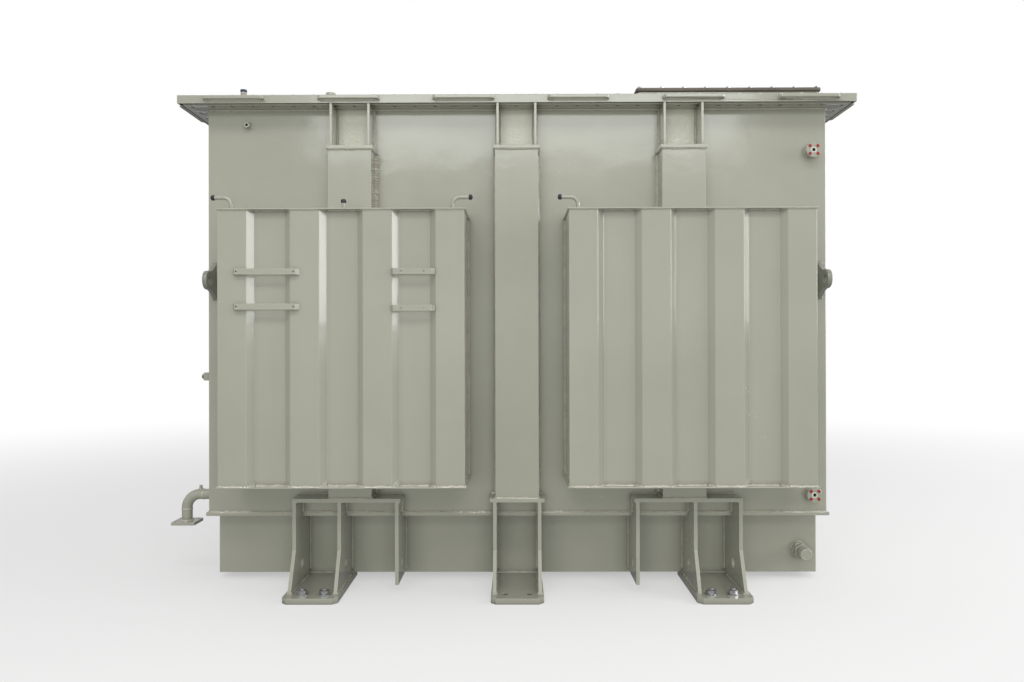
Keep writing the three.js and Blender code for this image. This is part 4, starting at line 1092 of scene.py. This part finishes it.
def hv_bushing(number, x):
    """A cast resin cone with shallow sheds above its flange, and a stud at each end."""
    base = at(x, BUSHING_Y, SEAT)
    profile = [(0, -0.130), (0.0335, -0.122), (0.0352, -0.119), (0.0455, -0.024), (0.046, -0.020),
               (0.046, 0), (0.0772, 0), (0.078, 0.0008), (0.078, 0.016), (0.0765, 0.018),
               (0.0505, 0.0205), (0.0475, 0.024)]
    for i in range(SHEDS):
        foot = 0.030 + i * 0.0225
        root = 0.0455 - (foot - 0.024) * 0.118
        profile += [(root, foot), (root + 0.0125, foot + 0.0075), (root + 0.0131, foot + 0.0090),
                    (root + 0.0122, foot + 0.0104), (root - 0.0012, foot + 0.0134)]
    profile += [(0.0285, 0.166), (0.0275, 0.1695), (0.020, 0.171), (0, 0.171)]
    made = Shape().lathe(profile, base, UP, 72).done(f"hv_bushing_{number}_cone", "cover", "epoxy")
    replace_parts(made, f"hv_bushing_{number}")
    stud = Shape()
    stud.lathe([(0, 0.171), (0.016, 0.171), (0.016, 0.181), (0.0148, 0.182), (0.0148, 0.1865),
                (0.016, 0.1875), (0.016, 0.2035), (0.0146, 0.205), (0.0055, 0.205), (0.0055, 0.196),
                (0, 0.196)], base, UP, 48)
    stud.lathe([(0, -0.190), (0.0146, -0.190), (0.016, -0.1885), (0.016, -0.131), (0, -0.131)], base, UP, 40)
    stud.done(f"hv_bushing_{number}_stud", "cover", "epoxy", "brass")
    ring = Shape()
    for i in range(FLANGE_BOLTS):
        a = TAU * (i + 0.5) / FLANGE_BOLTS
        spot = base + spoke(RIGHT, BACK, a) * 0.066 + UP * 0.0175
        bolt_head(ring, spot, UP, (0.008, 0.0042, 0.0016), 0.013, 0.0053, a)
    ring.done(f"hv_bushing_{number}_bolts", "cover", "epoxy", "zinc")


def lv_block():
    """A moulded block with a flange above and a skirt below the cover, stepped up round each bar."""
    shape = Shape()
    parts = [(LV_X, 0.780, 0.140, 0.012, 0, 0.020, 0.0025), (LV_X, 0.690, 0.070, 0.010, -45, 0.0455, 0.002)]
    for x in BAR_X:
        parts += [(x, 0.150, 0.070, 0.012, 19, 0.041, 0.004), (x, 0.104, 0.036, 0.008, 58, 0.012, 0.0025)]
    parts += [(x, 0.058, 0.058, 0.008, 19, 0.020, 0.003) for x in (290, LV_X, 730)]
    for x, width, depth, radius, lift, height, chamfer in parts:
        shape.prism(rounded(width, depth, radius), at(x, BUSHING_Y, SEAT + lift), UP, RIGHT, height, chamfer)
    made = shape.done("lv_block_moulding", "cover", "epoxy")
    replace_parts(made, "lv_bushing_block")


def lv_bars():
    """Four tinned copper bars through the block, drilled at both ends for cable lugs and leads."""
    upright = Matrix(((1, 0, 0), (0, 0, -1), (0, 1, 0)))
    outline = [(x, y + 0.005) for x, y in rounded(0.080, 0.370, 0.004)]
    places = [(x, y) for x in (-0.020, 0.020) for y in (0.100, 0.125, 0.150, 0.175)]
    holes = [circle(x, y, 0.0065) for x, y in places + [(-0.020, -0.150), (0.020, -0.150)]]
    for i, x in enumerate(BAR_X, 1):
        plate(f"lv_bar_{i}", [outline, *holes], at(x, BUSHING_Y + 6, SEAT), 0.012, "cover", "lv_copper",
              edge=0.0008, turn=upright, material="tinned_copper")


def lv_bolts():
    """The bolts that hold the block's flange to the cover."""
    bolts = Shape()
    for x in (150, 310, LV_X, 710, 870):
        for y in (-60, 60):
            spot = at(x, BUSHING_Y + y, SEAT + 20)
            bolt_head(bolts, spot, UP, (0.009, 0.0045, 0.0018), 0.013, 0.0055, x * 0.01)
    bolts.done("lv_block_bolts", "cover", "epoxy", "zinc")


def tap_knob():
    """A turned base with a cast handle across it, and the shaft that runs down through the cover."""
    base = at(-1260, BUSHING_Y, TOP + 26.3)
    shape = Shape()
    shape.lathe([(0, -0.150), (0.0075, -0.150), (0.008, -0.149), (0.008, 0), (0.0385, 0), (0.040, 0.0015),
                 (0.040, 0.0105), (0.0375, 0.0135), (0.033, 0.014), (0, 0.014)], base, UP, 64)
    rings = []
    for i in range(17):
        t = i / 16
        taper = math.sin(math.pi * t) ** 0.35 if 0 < t < 1 else 0
        half, height = 0.009 * max(taper, 0.3), 0.018 + 0.014 * max(taper, 0.25)
        side = [(half, 0), (half, height * 0.82), (half * 0.72, height * 0.95)]
        section = [(-x, z) for x, z in side] + [(0, height)] + side[::-1]
        rings.append([base + Vector((x, -0.055 + 0.093 * t, 0.012 + z)) for x, z in section])
    shape.rings(rings)
    hexagon(shape, base + UP * 0.040, UP, 0.010, 0.0035)
    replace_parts(shape.done("tap_changer_knob_cast", "tap_knob", "knob_metal"), "tap_changer_knob")


def hatch_cover():
    """A thin blanking plate bolted round its edge."""
    low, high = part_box("hatch_cover")
    middle, size = (low + high) / 2, high - low
    made = plate("hatch_blanking_plate", [rounded(size.x, size.y, 0.014, 3)],
                 Vector((middle.x, middle.y, low.z)), size.z, "hatch", "blanking_plate", edge=0.0015)
    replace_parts(made, "hatch_cover")
    bolts = Shape()
    nx, ny = 8, 4
    ix, iy = size.x / 2 - 0.017, size.y / 2 - 0.017
    spots = {(round(-ix + 2 * ix * i / nx, 5), s * iy) for i in range(nx + 1) for s in (-1, 1)}
    spots |= {(s * ix, round(-iy + 2 * iy * j / ny, 5)) for j in range(ny + 1) for s in (-1, 1)}
    for x, y in sorted(spots):
        spot = Vector((middle.x + x, middle.y + y, high.z))
        bolt_head(bolts, spot, UP, (0.011, 0.0055, 0.0018), 0.016, 0.0064, x * 20 + y)
    bolts.done("hatch_bolts", "hatch", "blanking_plate", "zinc")


def cover_welds():
    """Beads round the hatch collar, the bosses and the feet of the tie bars."""
    shape = Shape()
    left, right, front, back = 566, 1394, -481, -1
    collar = (((left, front), (right, front), FRONT), ((left, back), (right, back), BACK),
              ((left, front), (left, back), LEFT), ((right, front), (right, back), RIGHT))
    for seed, (start, end, away) in enumerate(collar, 601):
        bead(shape, at(*start, TOP), at(*end, TOP), UP, away, 0.007, seed)
    for x, y, radius in BOSSES:
        ring_of_weld(shape, at(x, y, TOP), UP, radius, 0.005, seed=abs(x))
    for i in range(6):
        x = 20 + (i - 2.5) * 503
        for wall in (-1, 1):
            for end in (-134, 134):
                for side in (-1, 1):
                    leg_x = wall * -x + end - (8 if end > 0 else 0) + (8 if side > 0 else 0)
                    low, high = at(leg_x, wall * 681, 2161), at(leg_x, wall * 681, 2175)
                    bead(shape, low, high, RIGHT * side, BACK * wall, 0.004, seed=i * 9 + end)
    shape.welds("welds_on_cover", "cover")


def breather_cap():
    """A low blue cap on the breather boss."""
    cap = Shape().lathe([(0, 0.0003), (0.0142, 0.0003), (0.0146, 0.001), (0.0146, 0.0075), (0.0135, 0.009),
                         (0.006, 0.0096), (0, 0.0097)], at(-1213, -631, TOP + 28), UP, 32)
    cap.done("breather_boss_cap", "cover", material="blue_cap")


for number, x in enumerate(HV_X, 1):
    hv_bushing(number, x)
lv_block()
lv_bars()
lv_bolts()
tap_knob()
hatch_cover()
cover_welds()
breather_cap()

# ------------ core and windings

PHASES = (("left", -790), ("middle", 0), ("right", 790))
COIL_LOW, COIL_HIGH = 0.540, 1.420
LIMB_STEPS = ((0.160, 0.060), (0.125, 0.115), (0.065, 0.158))  # half widths and half depths, in metres
YOKES = ((1480, 1800), (160, 480))  # lowest and highest levels, in millimetres


def grooved_tube(centre, inner, outer, pitch, depth):
    """A winding as stacked rounded turns: its outer wall is grooved once each pitch."""
    turns = round((COIL_HIGH - COIL_LOW) / pitch)
    step = (COIL_HIGH - COIL_LOW) / turns
    profile = [(inner, COIL_LOW)]
    for i in range(turns):
        z = COIL_LOW + i * step
        profile += [(outer - depth, z), (outer, z + step * 0.18), (outer, z + step * 0.82)]
    profile += [(outer - depth, COIL_HIGH), (inner, COIL_HIGH), (inner, COIL_LOW)]
    return Shape().lathe(profile, centre, UP, 96)


def spacers(shape, centre, radius, count, start, low, size, corner, height):
    """Blocks round a winding. start is the first one's share of a step, and size is (radial, across)."""
    for i in range(count):
        out = spoke(RIGHT, BACK, TAU * (i + start) / count)
        shape.prism(rounded(*size, corner, 2), centre + out * radius + UP * low, UP, out, height, 0.001)


def windings(name, x):
    """A copper winding inside a paper-covered one, with board sticks between them and blocks at the ends."""
    centre = at(x, 0, 0)
    lv = grooved_tube(centre, 0.182, 0.252, 0.022, 0.002)
    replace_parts(lv.done(f"{name}_lv_turns", "tank", "lv_copper"), f"{name}_lv_winding")
    hv = grooved_tube(centre, 0.276, 0.3485, 0.0147, 0.003)
    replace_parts(hv.done(f"{name}_hv_turns", "tank", "hv_paper"), f"{name}_hv_winding")
    board = Shape()
    spacers(board, centre, 0.264, 18, 0.5, COIL_LOW + 0.002, (0.0236, 0.022), 0.0015,
            COIL_HIGH - COIL_LOW - 0.004)
    for z in (COIL_LOW - 0.012, COIL_HIGH + 0.001):
        spacers(board, centre, 0.268, 16, 0, z, (0.160, 0.034), 0.003, 0.011)
    board.done(f"{name}_winding_spacers", "tank", "hv_paper", "board")


def core():
    """Stepped stacks of sheet: three limbs and two yokes. Each packet's edges are eased."""
    shape = Shape()
    for _, x in PHASES:
        done = 0.0
        for half_x, half_y in LIMB_STEPS:
            for low, high in ((-half_y, -done), (done, half_y)) if done else ((-half_y, half_y),):
                a, b = at(x, low * 1000, 400), at(x, high * 1000, 1560)
                shape.block((a.x - half_x, a.y, a.z), (b.x + half_x, b.y, b.z), 0.0012)
            done = half_y
    for low, high in YOKES:
        shape.block(at(-962, -110, low), at(962, 110, high), 0.0015)
        for near, far in ((-165, -109), (109, 165)):
            shape.block(at(-962, near, low + 50), at(962, far, high - 50), 0.0015)
    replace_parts(shape.done("core_packets", "tank", "core_steel", smooth=20), "core")


def clamp_bolts():
    """Washers, nuts and threaded ends on the through bolts of both clamps."""
    shape = Shape()
    for out in (FRONT, BACK):
        for z in (325, 1635):
            for x in (-1080, -560, -230, 230, 560, 1080):
                spot = at(x, out.y * 215.3, z)
                bolt_head(shape, spot, out, (0.026, 0.012, 0.004), 0.036, 0.019, x * 0.01, 32)
                thread(shape, spot + out * 0.020, out, 0.0118, 0.012, 0.003)
    shape.done("clamp_bolts", "tank", "clamp_paint", "zinc")


for name, x in PHASES:
    windings(name, x)
core()
clamp_bolts()
